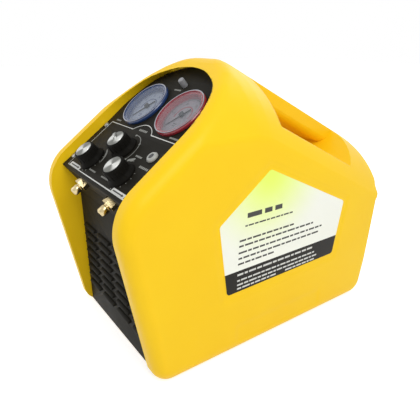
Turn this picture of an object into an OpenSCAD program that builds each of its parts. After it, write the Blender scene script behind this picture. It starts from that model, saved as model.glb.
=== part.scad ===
// Portable refrigerant recovery machine: a moulded case with a through handle, a sloping
// control panel, and inside it a twin cylinder compressor, a fan and a condenser.
// X runs to the right seen from the front, Y to the back and Z up.
// The origin is on the floor under the middle of the case.

/* [Case] */
// Overall length of the case, front to back
case_len = 425; // [415:5:440]
// Overall width of the case
case_wid = 250; // [246:2:262]
// Overall height of the case
case_ht = 355; // [350:1:362]
// Wall thickness of the moulding
case_wall = 4; // [3:0.5:4.5]
// Rounding of every outer edge of the case
edge_r = 20; // [14:1:22]
// Radius of the arched roof
roof_r = 135; // [132:1:145]
// Thickness of the hollow cheeks beside the front and rear openings
cheek_t = 25; // [22:1:27]
// Thickness of the hollow hood over the gauges
hood_t = 17.5; // [16:0.5:20]
// Radius of the rounded nose
nose_r = 60; // [50:1:66]
// Height of the middle of the nose
nose_z = 192; // [186:1:196]
// Radius of the crest between the front slope and the roof
crest_r = 28; // [24:1:34]
// Radius of the rear shoulder
shoulder_r = 56; // [48:1:62]
// Radius of the lower front and rear corners
foot_r = 24; // [22:1:30]
// Height of the shallow gap between the front and rear feet
foot_gap_ht = 4; // [2:0.5:5]

/* [Handle] */
// Width of the handle bar
grip_wid = 76; // [70:1:82]
// Depth of the handle bar, measured straight down
grip_ht = 33; // [30:1:35]
// Height of the finger gap under the handle bar
grip_gap = 30; // [28:1:34]

/* [Panel] */
// Thickness of the sheet metal panels
sheet_t = 2; // [1.5:0.1:2.5]
// Slope of the control area of the panel, degrees
panel_tilt = 35.8; // [35:0.1:36.5]
// Slope of the gauge area of the panel, degrees
gauge_tilt = 38.8; // [38:0.1:39.5]
// Length of the control area, from the lower edge to the bend under the gauges
control_len = 93; // [91:1:95]
// Depth of the chin flange under the panel edge
chin_depth = 34; // [32:1:36]

/* [Controls] */
// Distance of the valve knobs from the middle line
valve_x = 43.5; // [42:0.5:45]
// Diameter of the knob bodies
knob_d = 29; // [28:0.5:30]
// Height of the knobs above the panel
knob_ht = 18; // [16:0.5:20]
// Diameter of the bright knob caps
cap_d = 24.5; // [23:0.5:26]
// Diameter of the valve stems
stem_d = 8; // [7:0.5:8.5]
// Diameter of the power button ring
power_d = 17; // [15:0.5:18]
// Diameter of the reset button
reset_d = 10.5; // [9:0.5:11]

/* [Gauges] */
// Distance of the gauges from the middle line
gauge_x = 42.8; // [42.5:0.1:43.5]
// Outer diameter of the gauge rims
gauge_d = 78; // [74:1:79]
// Height of the gauge rims above the panel
gauge_ht = 6; // [5:0.5:8]
// Depth of the gauge bodies behind the panel
gauge_depth = 24; // [20:1:26]

/* [Machinery] */
// Height of the motor shaft above the floor
shaft_z = 96; // [94:1:98]
// Diameter of the motor shaft
shaft_d = 12; // [10:0.5:13]
// Diameter of the motor shell
motor_d = 104; // [98:1:108]
// Length of the motor shell
motor_len = 112; // [106:1:116]
// Diameter of the fan
fan_d = 148; // [140:1:150]
// Outer diameter of the copper tubes
tube_d = 6.35; // [6:0.05:7]

/* [Hidden] */

$fn = 48;
// Sides of the copper tubes
pipe_sides = 10;
// Steps of the faceted roundings of the case
shell_fn = 24;
// Steps of a quarter turn in the rounding of the case edges
ball_steps = 4;
// Overrun of every cut
over = 1;
// Seat gap between pieces that are pushed together
seat = 0.3;
// Radial running clearance of shafts and stems
run = 0.05;

case_yellow = [0.98, 0.83, 0.16];
panel_black = [0.13, 0.13, 0.125];
brass = [0.84, 0.69, 0.36];
silver = [0.72, 0.72, 0.70];
copper = [0.72, 0.43, 0.27];

// Places of the case outline in side view, as shares of the length and height
nose_y = -case_len / 2 + nose_r;
foot_front_y = -case_len * 0.3775;
foot_rear_y = case_len * 0.388;
crest_y = -case_len * 0.0635;
shoulder_y = case_len / 2 - shoulder_r;
shoulder_z = case_ht * 0.569;

// Fall of the roof ridge from the crest to the shoulder, degrees
ridge_run = shoulder_y - crest_y;
ridge_drop = case_ht - crest_r - shoulder_z;
roof_fall = atan2(ridge_drop, ridge_run) - asin((shoulder_r - crest_r) / norm([ridge_run, ridge_drop]));

// Height of the roof ridge line at a place along the case
function ridge_z(y) = case_ht - crest_r + crest_r / cos(roof_fall) - (y - crest_y) * tan(roof_fall);

// The hood runs level over the gauges before the ridge falls
hood_z = case_ht * 1.0225;
hood_points = [[-case_len / 2 - over, hood_z], [-case_len * 0.15, hood_z],
    [-case_len * 0.1, case_ht * 1.018], [crest_y, ridge_z(crest_y)], [case_len / 2 + over, ridge_z(case_len / 2 + over)]];
arch_steps = 14;

// The panel runs from the lower grille up the chin, along the control slope and the gauge slope
edge_y = -case_len * 0.4572;
edge_z = case_ht * 0.6242;
control_dir = [cos(panel_tilt), sin(panel_tilt)];
gauge_dir = [cos(gauge_tilt), sin(gauge_tilt)];
edge_pt = [edge_y, edge_z];
chin_pt = edge_pt + chin_depth * [control_dir[1], -control_dir[0]];
bend_pt = edge_pt + control_len * control_dir;
gauge_len = case_len * 0.32;
top_pt = bend_pt + gauge_len * gauge_dir;
grille_y = chin_pt[0];
grille_top = chin_pt[1] - chin_depth * 0.4;
arch_z = hood_z - roof_r;

// Inner floor and the plates of the chassis
floor_z = foot_gap_ht + case_wall;
plate_z = floor_z + sheet_t;
plate_wid = case_wid - 2 * edge_r + case_wall * 2;
ledge_t = case_wall * 0.75;
ledge_w = case_wall * 2;

// Rear opening and panel
rear_y = case_len * 0.414;
rear_bottom = floor_z;
rear_top = case_ht * 0.54;
rear_round = cheek_t * 0.5;
rear_half = case_wid / 2 - cheek_t;

// Scoop behind the crest for the hand
scoop_y0 = 0;
scoop_y1 = case_len * 0.3235;
scoop_depth = grip_ht + grip_gap;
scoop_ramp = 34.5;
scoop_z0 = ridge_z(scoop_y0) - scoop_depth;
scoop_z1 = ridge_z(scoop_y1) - scoop_depth;
scoop_y2 = case_len / 2 + over;
scoop_z2 = scoop_z1 + (scoop_y2 - scoop_y1) * tan(scoop_ramp);
grip_round = grip_ht * 0.36;

// Places on the control slope, measured from the lower edge
valve_s = control_len * 0.29;
mode_s = control_len * 0.617;
power_x = valve_x * 1.533;
power_s = control_len * 0.663;
// Places on the gauge slope, measured from the bend
gauge_u = gauge_d * 0.43;
reset_u = gauge_d * 0.97;

// Label pocket and side relief
label_shape = [[-case_len * 0.2, case_ht * 0.256], [case_len * 0.2435, case_ht * 0.262],
    [case_len * 0.274, case_ht * 0.479], [-case_len * 0.0553, case_ht * 0.673], [-case_len * 0.228, case_ht * 0.518]];
label_t = over * 0.4;
pocket_depth = over * 0.8;
pocket_margin = case_wall * 2.5;
relief_y = [-case_len * 0.164, case_len * 0.199];
relief_z = [case_ht * 0.023, case_ht * 0.118];
gap_y = [-case_len * 0.185, case_len * 0.227];
// Sizes of the fittings and the valve train behind the panel
fitting_r = tube_d * 0.874;
fitting_hex = fitting_r * 2.7;
fitting_h = -chin_depth * 0.426;
fitting_out = control_len * 0.215;
neck_r = fitting_r * 1.35;
bonnet_r = stem_d * 0.8;
block_top = -sheet_t - over;
block_deep = chin_depth * 0.75;
block_s = [chin_depth * 0.2, control_len * 0.74];
block_half = valve_x + bonnet_r * 2.4;
skirt_r = knob_d * 0.62;
gauge_body_r = gauge_d * 0.45;
switch_r = power_d * 0.41;
reset_body_r = reset_d * 1.3;
screw_r = case_wall * 0.5;
panel_screw_places = [[-0.94, 0.2], [0.94, 0.2], [-0.94, 0.86], [0.94, 0.86]];
// Louvre sizes and pattern of the lower grille
louvre_r = sheet_t * 2.2;
louvre_len = case_wid * 0.145;
louvre_rows = 8;
louvre_cols = 4;
louvre_pitch_x = case_wid * 0.188;
louvre_pitch_z = case_ht * 0.0366;
louvre_z0 = case_ht * 0.115;
flange_ht = case_ht * 0.06;
// Rear plate with the fan opening, the inlet cut-out and vent slots
fan_y = case_len * 0.2;
guard_r = fan_d * 0.5 + sheet_t;
inlet_x = rear_half * 0.71;
inlet_wid = 48;
inlet_ht = 25;
inlet_z = rear_top * 0.95 - inlet_ht / 2;
guard_t = sheet_t;
guard_bar = sheet_t * 1.5;
guard_rings = 6;
inlet_body_wid = inlet_wid * 0.5625;
inlet_body_ht = inlet_ht * 0.8;
inlet_depth = inlet_wid * 0.36;
// Gauge: flanged case, dial, lens and pointer on a spindle
lens_t = sheet_t;
dial_t = over * 0.8;
rim_w = gauge_d * 0.04;
dial_r = gauge_body_r - case_wall * 0.5;
spindle_r = sheet_t * 0.8;
socket_r = stem_d * 0.75;
socket_len = gauge_depth * 0.6;
pointer_h = gauge_ht - lens_t * 2.2;
dial_h = -case_wall * 0.5;
// The rim clears the bend of the panel by this much
gauge_seat = max(0, gauge_d / 2 - gauge_u) * sin(gauge_tilt - panel_tilt);
pointer_rest = 145;
port_s = block_s[1];
gauge_port_x = block_half - tube_d;
gauge_port_s = port_s - tube_d * 1.5;
bonnet_top = sheet_t * 1.6;
// Skirted knob with finger flutes, hollow over the bonnet nut, bored for the stem
cap_t = sheet_t * 0.7;
flutes = 14;
mode_turn = -117.6;
// Power switch body with its light ring, and the button in it
power_ht = power_d * 0.3;
button_travel = power_ht * 0.45;
button_r = power_d * 0.24;
// High pressure cut-out switch with its reset button
reset_ht = reset_d * 1.33;
reset_travel = sheet_t * 1.5;
// Motor with end bells and feet on rubber mounts
motor_y = -case_len * 0.1;
shaft_len = case_len * 0.5;
shaft_y = -case_len * 0.28;
mount_r = case_wall * 2.4;
mount_ht = case_wall * 3;
mount_x = motor_d * 0.46;
mount_places = [for (x = [-mount_x, mount_x]) for (y = [motor_y + motor_len * 0.2, motor_y + motor_len * 0.8]) [x, y]];
// Crankcase with the shaft bore, bolted to the motor's front bell
crank_len = motor_y - shaft_y - seat * 2;
crank_half = shaft_d * 2.6;
barrel_r = shaft_d * 2.2;
barrel_len = shaft_d * 3;
crank_y = shaft_y + crank_len / 2;
head_t = shaft_d * 1.4;
// Axial fan on the rear end of the shaft
hub_r = shaft_d * 1.6;
hub_len = shaft_d * 1.8;
blades = 5;
fan_hub_y = shaft_y + over * 4 + shaft_len - hub_len;
blade_pitch = 28;
// Condenser: fin block, frame plates and serpentine tube ends
cond_y = fan_hub_y + hub_len + case_wall * 2;
cond_t = tube_d * 4.2;
cond_half = rear_half * 0.86;
cond_z = [plate_z + case_wall, rear_top * 0.96];
cond_rows = 7;
row_pitch = (cond_z[1] - cond_z[0]) / cond_rows;
fin_count = 26;
foot_w = case_wall * 2;
// Run capacitor strapped to the tray beside the motor
cap_r = motor_d * 0.2;
cap_x = plate_wid / 2 - cap_r - case_wall;
cap_len = motor_len * 0.7;
cap_y = motor_y + motor_len + case_wall;
tube_bend = tube_d * 1.6;
head_x = crank_half + barrel_len + head_t / 2;
head_top = shaft_z + barrel_r * 0.95;
rear_screw_places = [[-0.93, 0.07], [0.93, 0.07], [-0.93, 0.5], [0.93, 0.5], [0, 0.95]];

// Helpers

// Turns a side outline in Y and Z into a body across X
module across(width) rotate([90, 0, 90]) linear_extrude(width, center = true) children();

// Puts children on the control slope: x across, s up the slope from the lower edge, z outwards
module on_control(x, s, h = 0)
    translate([x, edge_pt[0], edge_pt[1]]) rotate([panel_tilt, 0, 0]) translate([0, s, h]) children();

// Puts children on the gauge slope: x across, u up the slope from the bend, z outwards
module on_gauge(x, u, h = 0)
    translate([x, bend_pt[0], bend_pt[1]]) rotate([gauge_tilt, 0, 0]) translate([0, u, h]) children();

// Cylinder along X or Y with its start at the origin
module rod_x(r, len) rotate([0, 90, 0]) cylinder(r = r, h = len);
module rod_y(r, len) rotate([-90, 0, 0]) cylinder(r = r, h = len);

// Points of a rectangle with rounded corners, centred
function rounded_rect(w, h, r, steps = 6) = [for (c = [0:3]) for (i = [0:steps])
    let (sx = (c == 0 || c == 3) ? 1 : -1, sy = c < 2 ? 1 : -1, a = 90 * c + 90 * i / steps)
    [sx * (w / 2 - r) + r * cos(a), sy * (h / 2 - r) + r * sin(a)]];

// Regular hexagon prism with its width across flats
module hex(af, len) cylinder(d = af / cos(30), h = len, $fn = 6);

// Case outline in side view, moved inwards by a given amount
module side_outline(inset) hull() {
    translate([nose_y, nose_z]) circle(nose_r - inset, $fn = shell_fn * 2);
    translate([foot_front_y, foot_r]) circle(foot_r - inset, $fn = shell_fn);
    translate([foot_rear_y, foot_r]) circle(foot_r - inset, $fn = shell_fn);
    translate([crest_y, case_ht - crest_r]) circle(crest_r - inset, $fn = shell_fn);
    translate([shoulder_y, shoulder_z]) circle(shoulder_r - inset, $fn = shell_fn * 2);
}

// Arched cross-section of the case, moved inwards, with the ridge at height zero
module arch_section(inset) {
    r = roof_r - inset;
    half = case_wid / 2 - inset;
    a0 = acos(half / r);
    polygon(concat([[half, -case_ht - over * 2 - hood_t]],
        [for (i = [0:arch_steps]) let (a = a0 + (180 - 2 * a0) * i / arch_steps) [r * cos(a), r * sin(a) - roof_r]],
        [[-half, -case_ht - over * 2 - hood_t]]));
}

// Prism of arched sections along the hood and the ridge
module arch_prism(inset) hull() for (p = hood_points)
    translate([0, p[0], p[1] - (p[0] > crest_y - over ? inset * (1 / cos(roof_fall) - 1) : 0)])
        rotate([90, 0, 0]) linear_extrude(over) arch_section(inset);

// Inner core whose growth by a ball gives the rounded case
module case_core() intersection() {
    across(case_wid - 2 * edge_r) side_outline(edge_r);
    arch_prism(edge_r);
}

// The rounded body of the case, as one convex form, inside the given wall
module case_body(wall) minkowski() {
    case_core();
    ball(edge_r - wall);
}

// Ball whose facets reach the full radius along each axis
module ball(r) sphere(r / cos(45 / ball_steps), $fn = ball_steps * 4);

// Side outline of the front opening, in front of the panel
module front_outline() polygon([[-case_len, -case_wall * 2], [grille_y, -case_wall * 2], chin_pt, edge_pt, bend_pt,
    top_pt, [top_pt[0], case_ht * 2], [-case_len, case_ht * 2]]);

// The front opening, grown backwards by depth and sidewards by spread
module front_zone(depth, spread) intersection() {
    across(case_wid) offset(delta = depth) front_outline();
    front_tunnel(spread);
}

// The arched tunnel between the cheeks
module front_tunnel(spread) intersection() {
    translate([-case_wid / 2 + cheek_t - spread, -case_len, -case_wall * 2])
        cube([case_wid - 2 * cheek_t + 2 * spread, case_len * 2, case_ht * 2]);
    union() {
        translate([0, -case_len, arch_z]) rod_y(roof_r - hood_t + spread, case_len * 2);
        translate([-case_wid, -case_len, -case_wall * 2]) cube([case_wid * 2, case_len * 2, arch_z + case_wall * 2]);
    }
}

// The rear opening, from a given depth outwards
module rear_zone(depth, spread)
    translate([0, case_len / 2 + over, (rear_top + rear_bottom) / 2]) rotate([90, 0, 0])
        linear_extrude(case_len / 2 + over - rear_y + depth)
            polygon(rounded_rect(rear_half * 2 + spread * 2, rear_top - rear_bottom + spread * 2, rear_round + spread));

// Hand scoop on both sides of the grip bar, grown by a wall thickness
module scoop(grow) difference() {
    across(case_wid + over * 2) offset(delta = grow) polygon([[scoop_y0, case_ht * 2], [scoop_y0, scoop_z0],
        [scoop_y1, scoop_z1], [scoop_y2, scoop_z2], [scoop_y2, case_ht * 2]]);
    grip_bar(grow);
}

// Grip bar along the ridge, with rounded lower corners
module grip_bar(shrink) {
    deep = grip_ht * cos(roof_fall) - shrink;
    half = grip_wid / 2 - shrink;
    r = grip_round - shrink / 2;
    translate([0, -case_len / 2, ridge_z(-case_len / 2)]) rotate([-90 - roof_fall, 0, 0])
        linear_extrude(case_len * 1.5) polygon(concat([[half, -grip_ht * 2], [half, 0]],
            [for (i = [0:6]) [half - r + r * cos(15 * i), deep - r + r * sin(15 * i)]],
            [for (i = [0:6]) [-half + r - r * sin(15 * i), deep - r + r * cos(15 * i)]],
            [[-half, 0], [-half, -grip_ht * 2]]));
}

// One-piece hollow moulding with its openings, hand scoop, label pocket and feet
module case_shell() color(case_yellow) difference() {
    case_body(0);
    difference() {
        intersection() {
            case_body(case_wall);
            translate([-case_wid, -case_len, floor_z]) cube([case_wid * 2, case_len * 2, case_ht]);
        }
        scoop(case_wall);
        front_reveal();
        rear_reveal();
    }
    scoop(0);
    front_zone(sheet_t, 0);
    rear_zone(0, 0);
    rear_zone(sheet_t, 0);
    translate([case_wid / 2 - pocket_depth, 0, 0]) rotate([90, 0, 90]) linear_extrude(edge_r)
        offset(r = pocket_margin) polygon(label_shape);
    for (side = [-1, 1]) translate([side * (case_wid / 2 + edge_r / 2 - pocket_depth), 0, 0])
        across(edge_r) translate([(relief_y[0] + relief_y[1]) / 2, (relief_z[0] + relief_z[1]) / 2])
            polygon(rounded_rect(relief_y[1] - relief_y[0], relief_z[1] - relief_z[0], foot_r / 3));
    across(case_wid + over * 2) polygon([[gap_y[0] - foot_gap_ht, -over], [gap_y[0], foot_gap_ht],
        [gap_y[1], foot_gap_ht], [gap_y[1] + foot_gap_ht, -over]]);
}

// Returned walls and ledge that carry the front panels
module front_reveal() difference() {
    front_zone(sheet_t + ledge_t, case_wall);
    front_tunnel(-ledge_w);
}

// Returned walls and ledge that carry the rear panel
module rear_reveal() difference() {
    rear_zone(sheet_t + ledge_t, case_wall);
    rear_zone(case_len, -ledge_w);
}

// Bent sheet with the chin, the control slope and the gauge slope
module control_panel() color(panel_black) difference() {
    intersection() {
        front_zone(sheet_t, -seat);
        translate([-case_wid, -case_len, grille_top + seat / 2]) cube([case_wid * 2, case_len * 2, case_ht]);
    }
    across(case_wid) front_outline();
    for (x = [-valve_x, valve_x]) {
        on_control(x, valve_s, -sheet_t * 3) cylinder(r = bonnet_r + seat, h = sheet_t * 6);
        on_control(x, 0, fitting_h) rotate([90, 0, 0])
            translate([0, 0, -sheet_t * 3]) cylinder(r = neck_r + seat, h = sheet_t * 6);
    }
    on_control(0, mode_s, -sheet_t * 3) cylinder(r = bonnet_r + seat, h = sheet_t * 6);
    on_control(power_x, power_s, -sheet_t * 3) cylinder(r = switch_r + seat, h = sheet_t * 6);
    for (x = [-gauge_x, gauge_x])
        on_gauge(x, gauge_u, -sheet_t * 3) cylinder(r = gauge_body_r + seat, h = sheet_t * 6);
    on_gauge(0, reset_u, -sheet_t * 3) cylinder(r = reset_d / 2 + over, h = sheet_t * 6);
    for (p = panel_screw_places) panel_screw_at(p) translate([0, 0, -sheet_t * 2]) cylinder(r = screw_r, h = sheet_t * 4);
}

// Places of the panel screws: share of the half width, share along the control length
module panel_screw_at(p) on_control(p[0] * (case_wid / 2 - cheek_t), p[1] * control_len, 0) children();

// Lower front plate with pressed louvres
module front_grille() color(panel_black) {
    wide = case_wid - 2 * cheek_t - 2 * seat;
    difference() {
        translate([-wide / 2, grille_y, floor_z / 2]) cube([wide, sheet_t, grille_top - seat / 2 - floor_z / 2]);
        louvre_grid() translate([sheet_t / 2 - louvre_len / 2, -over, 0])
            cube([louvre_len - sheet_t, sheet_t + over * 2, louvre_r * 0.7]);
    }
    louvre_grid() louvre_hood();
}
module louvre_grid() for (i = [0:louvre_cols - 1]) for (j = [0:louvre_rows - 1])
    translate([(i - (louvre_cols - 1) / 2) * louvre_pitch_x, grille_y, louvre_z0 + j * louvre_pitch_z]) children();
// Pressed hood, open below, over one slot
module louvre_hood() intersection() {
    difference() {
        translate([-louvre_len / 2, 0, 0]) rod_x(louvre_r, louvre_len);
        translate([-louvre_len / 2 + sheet_t / 2, 0, 0]) rod_x(louvre_r - sheet_t / 2, louvre_len - sheet_t);
    }
    translate([-louvre_len / 2, -louvre_r, 0]) cube([louvre_len, louvre_r + sheet_t / 2, louvre_r]);
}

// Chassis tray on the case floor, with upturned edges at front and back
module base_plate() color("dimgray") {
    y0 = grille_y + sheet_t + seat;
    y1 = rear_y - sheet_t - ledge_t - seat;
    difference() {
        union() {
            translate([-plate_wid / 2, y0 + ledge_t + seat, floor_z])
                cube([plate_wid, y1 - y0 - ledge_t - seat, sheet_t]);
            translate([-plate_wid * 0.35, y0, floor_z]) cube([plate_wid * 0.7, y1 - y0, sheet_t]);
            translate([-plate_wid * 0.35, y0, floor_z]) cube([plate_wid * 0.7, sheet_t, flange_ht]);
            translate([-plate_wid * 0.35, y1 - sheet_t, floor_z]) cube([plate_wid * 0.7, sheet_t, flange_ht]);
        }
        for (p = mount_places) translate([p[0], p[1], floor_z - over]) cylinder(r = mount_r / 3, h = sheet_t + over * 2);
    }
}

module rear_panel() color(panel_black) difference() {
    translate([0, rear_y, (rear_top + rear_bottom) / 2]) rotate([90, 0, 0]) linear_extrude(sheet_t)
        polygon(rounded_rect(rear_half * 2 - seat * 2, rear_top - rear_bottom - seat * 2, rear_round - seat));
    translate([0, rear_y - sheet_t * 2, shaft_z]) rod_y(guard_r - ledge_w, sheet_t * 4);
    translate([inlet_x - inlet_body_wid / 2 - seat, rear_y - sheet_t * 2, inlet_z - inlet_body_ht / 2 - seat])
        cube([inlet_body_wid + seat * 2, sheet_t * 4, inlet_body_ht + seat * 2]);
    for (i = [0:4]) translate([-inlet_x - inlet_wid / 2, rear_y - sheet_t * 2, inlet_z - inlet_ht / 2 + i * inlet_ht / 4.5])
        cube([inlet_wid, sheet_t * 4, inlet_ht / 9]);
    rear_screw_holes();
}
module rear_screw_holes() for (p = rear_screw_places) rear_screw_at(p) translate([0, 0, -sheet_t * 2])
    cylinder(r = screw_r, h = sheet_t * 4);
module rear_screw_at(p) translate([p[0] * rear_half, rear_y, rear_bottom + p[1] * (rear_top - rear_bottom)])
    rotate([-90, 0, 0]) children();

// Pressed steel guard over the fan opening, with concentric rings on four spokes and four tabs
module fan_guard() color(silver) translate([0, rear_y, shaft_z]) rotate([-90, 0, 0]) linear_extrude(guard_t)
    difference() {
        union() {
            for (k = [1:guard_rings]) guard_ring(guard_r * k / guard_rings);
            for (a = [45:90:315]) rotate(a) {
                translate([guard_r / guard_rings - guard_bar / 2, -guard_bar / 2])
                    square([guard_r * (1 - 1 / guard_rings), guard_bar]);
                translate([guard_r, 0]) circle(guard_bar * 1.7);
            }
        }
        for (a = [45:90:315]) rotate(a) translate([guard_r, 0]) circle(screw_r);
    }
module guard_ring(r) difference() {
    circle(r);
    circle(r - guard_bar);
}

// Appliance inlet: flange, body behind the panel, socket with three pins
module power_inlet() color([0.09, 0.09, 0.09]) translate([inlet_x, rear_y, inlet_z]) rotate([90, 0, 0]) {
    difference() {
        union() {
            translate([0, 0, -ledge_t]) linear_extrude(ledge_t) polygon(rounded_rect(inlet_wid, inlet_ht, inlet_ht / 5));
            translate([-inlet_body_wid / 2, -inlet_body_ht / 2, 0]) cube([inlet_body_wid, inlet_body_ht, inlet_depth]);
        }
        translate([0, 0, -ledge_t - over]) linear_extrude(inlet_depth + over)
            polygon(rounded_rect(inlet_body_wid - case_wall * 0.7, inlet_body_ht - case_wall * 0.7, inlet_ht / 8));
    }
    for (x = [-1, 0, 1]) translate([x * inlet_body_wid * 0.26, x == 0 ? inlet_ht * 0.08 : -inlet_ht * 0.08, -ledge_t + case_wall * 1.4])
        translate([-sheet_t / 2, -sheet_t, 0]) cube([sheet_t, sheet_t * 2, inlet_depth - case_wall * 1.4]);
}

// Printed side label seated in its pocket
module side_label() color([0.97, 0.98, 0.8]) translate([case_wid / 2 - pocket_depth, 0, 0])
    rotate([90, 0, 90]) linear_extrude(label_t) offset(r = pocket_margin / 2) offset(delta = -pocket_margin / 2)
        polygon(label_shape);

module gauge_case(x) on_gauge(x, gauge_u) difference() {
    union() {
        rotate_extrude() polygon([[0, -gauge_depth], [gauge_body_r - ledge_t, -gauge_depth],
            [gauge_body_r, -gauge_depth + ledge_t], [gauge_body_r, gauge_seat], [gauge_d / 2, gauge_seat],
            [gauge_d / 2, gauge_ht * 0.55], [gauge_d / 2 - gauge_ht * 0.4, gauge_ht], [0, gauge_ht]]);
        translate([0, -gauge_body_r * 0.45, -gauge_depth - socket_len]) cylinder(r = socket_r, h = socket_len + over);
    }
    translate([0, 0, gauge_ht - lens_t]) cylinder(r = gauge_d / 2 - rim_w, h = lens_t + over);
    translate([0, 0, dial_h - dial_t]) cylinder(r = dial_r, h = gauge_ht * 2);
    translate([0, 0, dial_h - dial_t - sheet_t * 3]) cylinder(r = spindle_r + run, h = gauge_ht * 3);
    translate([0, -gauge_body_r * 0.45, -gauge_depth - socket_len - over]) cylinder(d = tube_d, h = socket_len);
}
module gauge_dial(x) on_gauge(x, gauge_u, dial_h - dial_t) difference() {
    cylinder(r = dial_r, h = dial_t);
    translate([0, 0, -over]) cylinder(r = spindle_r * 1.8, h = dial_t + over * 2);
}
module gauge_lens(x) on_gauge(x, gauge_u, gauge_ht - lens_t) cylinder(r = gauge_d / 2 - rim_w, h = lens_t);
module gauge_pointer(x) on_gauge(x, gauge_u) {
    translate([0, 0, dial_h - dial_t - sheet_t * 2.5]) cylinder(r = spindle_r, h = pointer_h - dial_h + dial_t + sheet_t * 2.5);
    translate([0, 0, dial_h + seat]) cylinder(r = dial_r * 0.11, h = pointer_h - dial_h - seat);
    rotate([0, 0, pointer_rest]) translate([0, 0, dial_h + seat * 2]) linear_extrude(over * 0.8)
        polygon([[-dial_r * 0.03, 0], [-dial_r * 0.035, -dial_r * 0.42], [dial_r * 0.035, -dial_r * 0.42],
            [dial_r * 0.03, 0], [dial_r * 0.008, dial_r * 0.78], [-dial_r * 0.008, dial_r * 0.78]]);
}
// Turn of the pointers at rest, anticlockwise from straight up the slope
module low_gauge_case() color(silver) gauge_case(-gauge_x);
module low_gauge_dial() color([0.86, 0.89, 0.93]) gauge_dial(-gauge_x);
module low_gauge_lens() color([0.8, 0.88, 0.95, 0.35]) gauge_lens(-gauge_x);
module low_gauge_pointer() color([0.08, 0.08, 0.08]) gauge_pointer(-gauge_x);
module high_gauge_case() color(silver) gauge_case(gauge_x);
module high_gauge_dial() color([0.95, 0.88, 0.88]) gauge_dial(gauge_x);
module high_gauge_lens() color([0.95, 0.86, 0.86, 0.35]) gauge_lens(gauge_x);
module high_gauge_pointer() color([0.08, 0.08, 0.08]) gauge_pointer(gauge_x);

// Valve block under the control slope, with ports, stem bores and gauge ports
module valve_block() color([0.75, 0.76, 0.77]) difference() {
    on_control(0, 0) translate([-block_half, block_s[0], block_top - block_deep])
        cube([block_half * 2, block_s[1] - block_s[0], block_deep]);
    for (x = [-valve_x, valve_x]) {
        on_control(x, valve_s, fitting_h - tube_d) cylinder(r = stem_d / 2 + run, h = block_deep);
        on_control(x, block_s[0] - over, fitting_h) rotate([-90, 0, 0]) cylinder(r = fitting_r * 0.6, h = valve_s);
        on_control(x, port_s + over, fitting_h) rotate([90, 0, 0]) cylinder(d = tube_d, h = valve_s * 0.6);
    }
    on_control(0, mode_s, fitting_h - tube_d) cylinder(r = stem_d / 2 + run, h = block_deep);
    on_control(0, port_s + over, fitting_h) rotate([90, 0, 0]) cylinder(d = tube_d, h = valve_s * 0.3);
    for (side = [-1, 1]) on_control(side * gauge_port_x, gauge_port_s, block_top - block_deep - over)
        cylinder(d = tube_d, h = block_deep * 0.4);
}

// Threaded bonnet with its clamp nut above the panel
module bonnet(x, s) on_control(x, s) difference() {
    union() {
        translate([0, 0, block_top]) cylinder(r = bonnet_r, h = bonnet_top - block_top);
        translate([0, 0, block_top]) cylinder(r = bonnet_r * 1.3, h = -sheet_t - block_top);
        hex(bonnet_r * 2.8, bonnet_top * 0.8);
    }
    translate([0, 0, block_top - over]) cylinder(r = stem_d / 2 + run, h = knob_ht);
}
module input_bonnet() color(brass) bonnet(-valve_x, valve_s);
module output_bonnet() color(brass) bonnet(valve_x, valve_s);
module mode_bonnet() color(brass) bonnet(0, mode_s);

// Stem that the knob turns, with a flat for the knob
module valve_stem(x, s) on_control(x, s) difference() {
    translate([0, 0, fitting_h - tube_d + seat]) cylinder(d = stem_d, h = knob_ht * 0.7 - fitting_h + tube_d - seat);
    translate([stem_d * 0.3, -stem_d, knob_ht * 0.35]) cube([stem_d, stem_d * 2, knob_ht]);
}
module input_stem() color(silver) valve_stem(-valve_x, valve_s);
module output_stem() color(silver) valve_stem(valve_x, valve_s);
module mode_stem() color(silver) valve_stem(0, mode_s);

module knob(x, s) on_control(x, s) difference() {
    rotate_extrude() polygon([[0, seat], [skirt_r, seat], [skirt_r, knob_ht * 0.1], [knob_d / 2, knob_ht * 0.34],
        [knob_d / 2 * 0.97, knob_ht * 0.88], [knob_d / 2 * 0.9, knob_ht - cap_t / 2], [0, knob_ht - cap_t / 2]]);
    translate([0, 0, -over]) cylinder(r = bonnet_r * 1.75, h = bonnet_top + over * 2);
    difference() {
        translate([0, 0, -over]) cylinder(d = stem_d, h = knob_ht * 0.7 + over);
        translate([stem_d * 0.3, -stem_d, knob_ht * 0.35]) cube([stem_d, stem_d * 2, knob_ht]);
    }
    translate([0, 0, knob_ht - cap_t]) cylinder(d = cap_d, h = cap_t + over);
    for (i = [0:flutes - 1]) rotate([0, 0, 360 * i / flutes])
        translate([knob_d * 0.53, 0, knob_ht * 0.36]) cylinder(r = knob_d * 0.055, h = knob_ht, $fn = 24);
}
module input_knob() color([0.1, 0.1, 0.1]) knob(-valve_x, valve_s);
module output_knob() color([0.1, 0.1, 0.1]) knob(valve_x, valve_s);
module mode_knob() color([0.1, 0.1, 0.1]) knob(0, mode_s);

// Bright cap set in the top of a knob
module knob_cap(x, s) on_control(x, s, knob_ht - cap_t) rotate_extrude()
    polygon([[0, 0], [cap_d / 2, 0], [cap_d / 2, cap_t * 0.75], [cap_d / 2 - cap_t * 0.25, cap_t], [0, cap_t]]);
module input_cap() color(silver) knob_cap(-valve_x, valve_s);
module output_cap() color(silver) knob_cap(valve_x, valve_s);

// The selector cap has a raised pointer bar across it
module mode_cap() color(silver) {
    knob_cap(0, mode_s);
    on_control(0, mode_s, knob_ht) rotate([0, 0, mode_turn]) translate([-cap_d * 0.09, -cap_d * 0.46, -seat])
        cube([cap_d * 0.18, cap_d * 0.92, cap_t + seat]);
}

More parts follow.
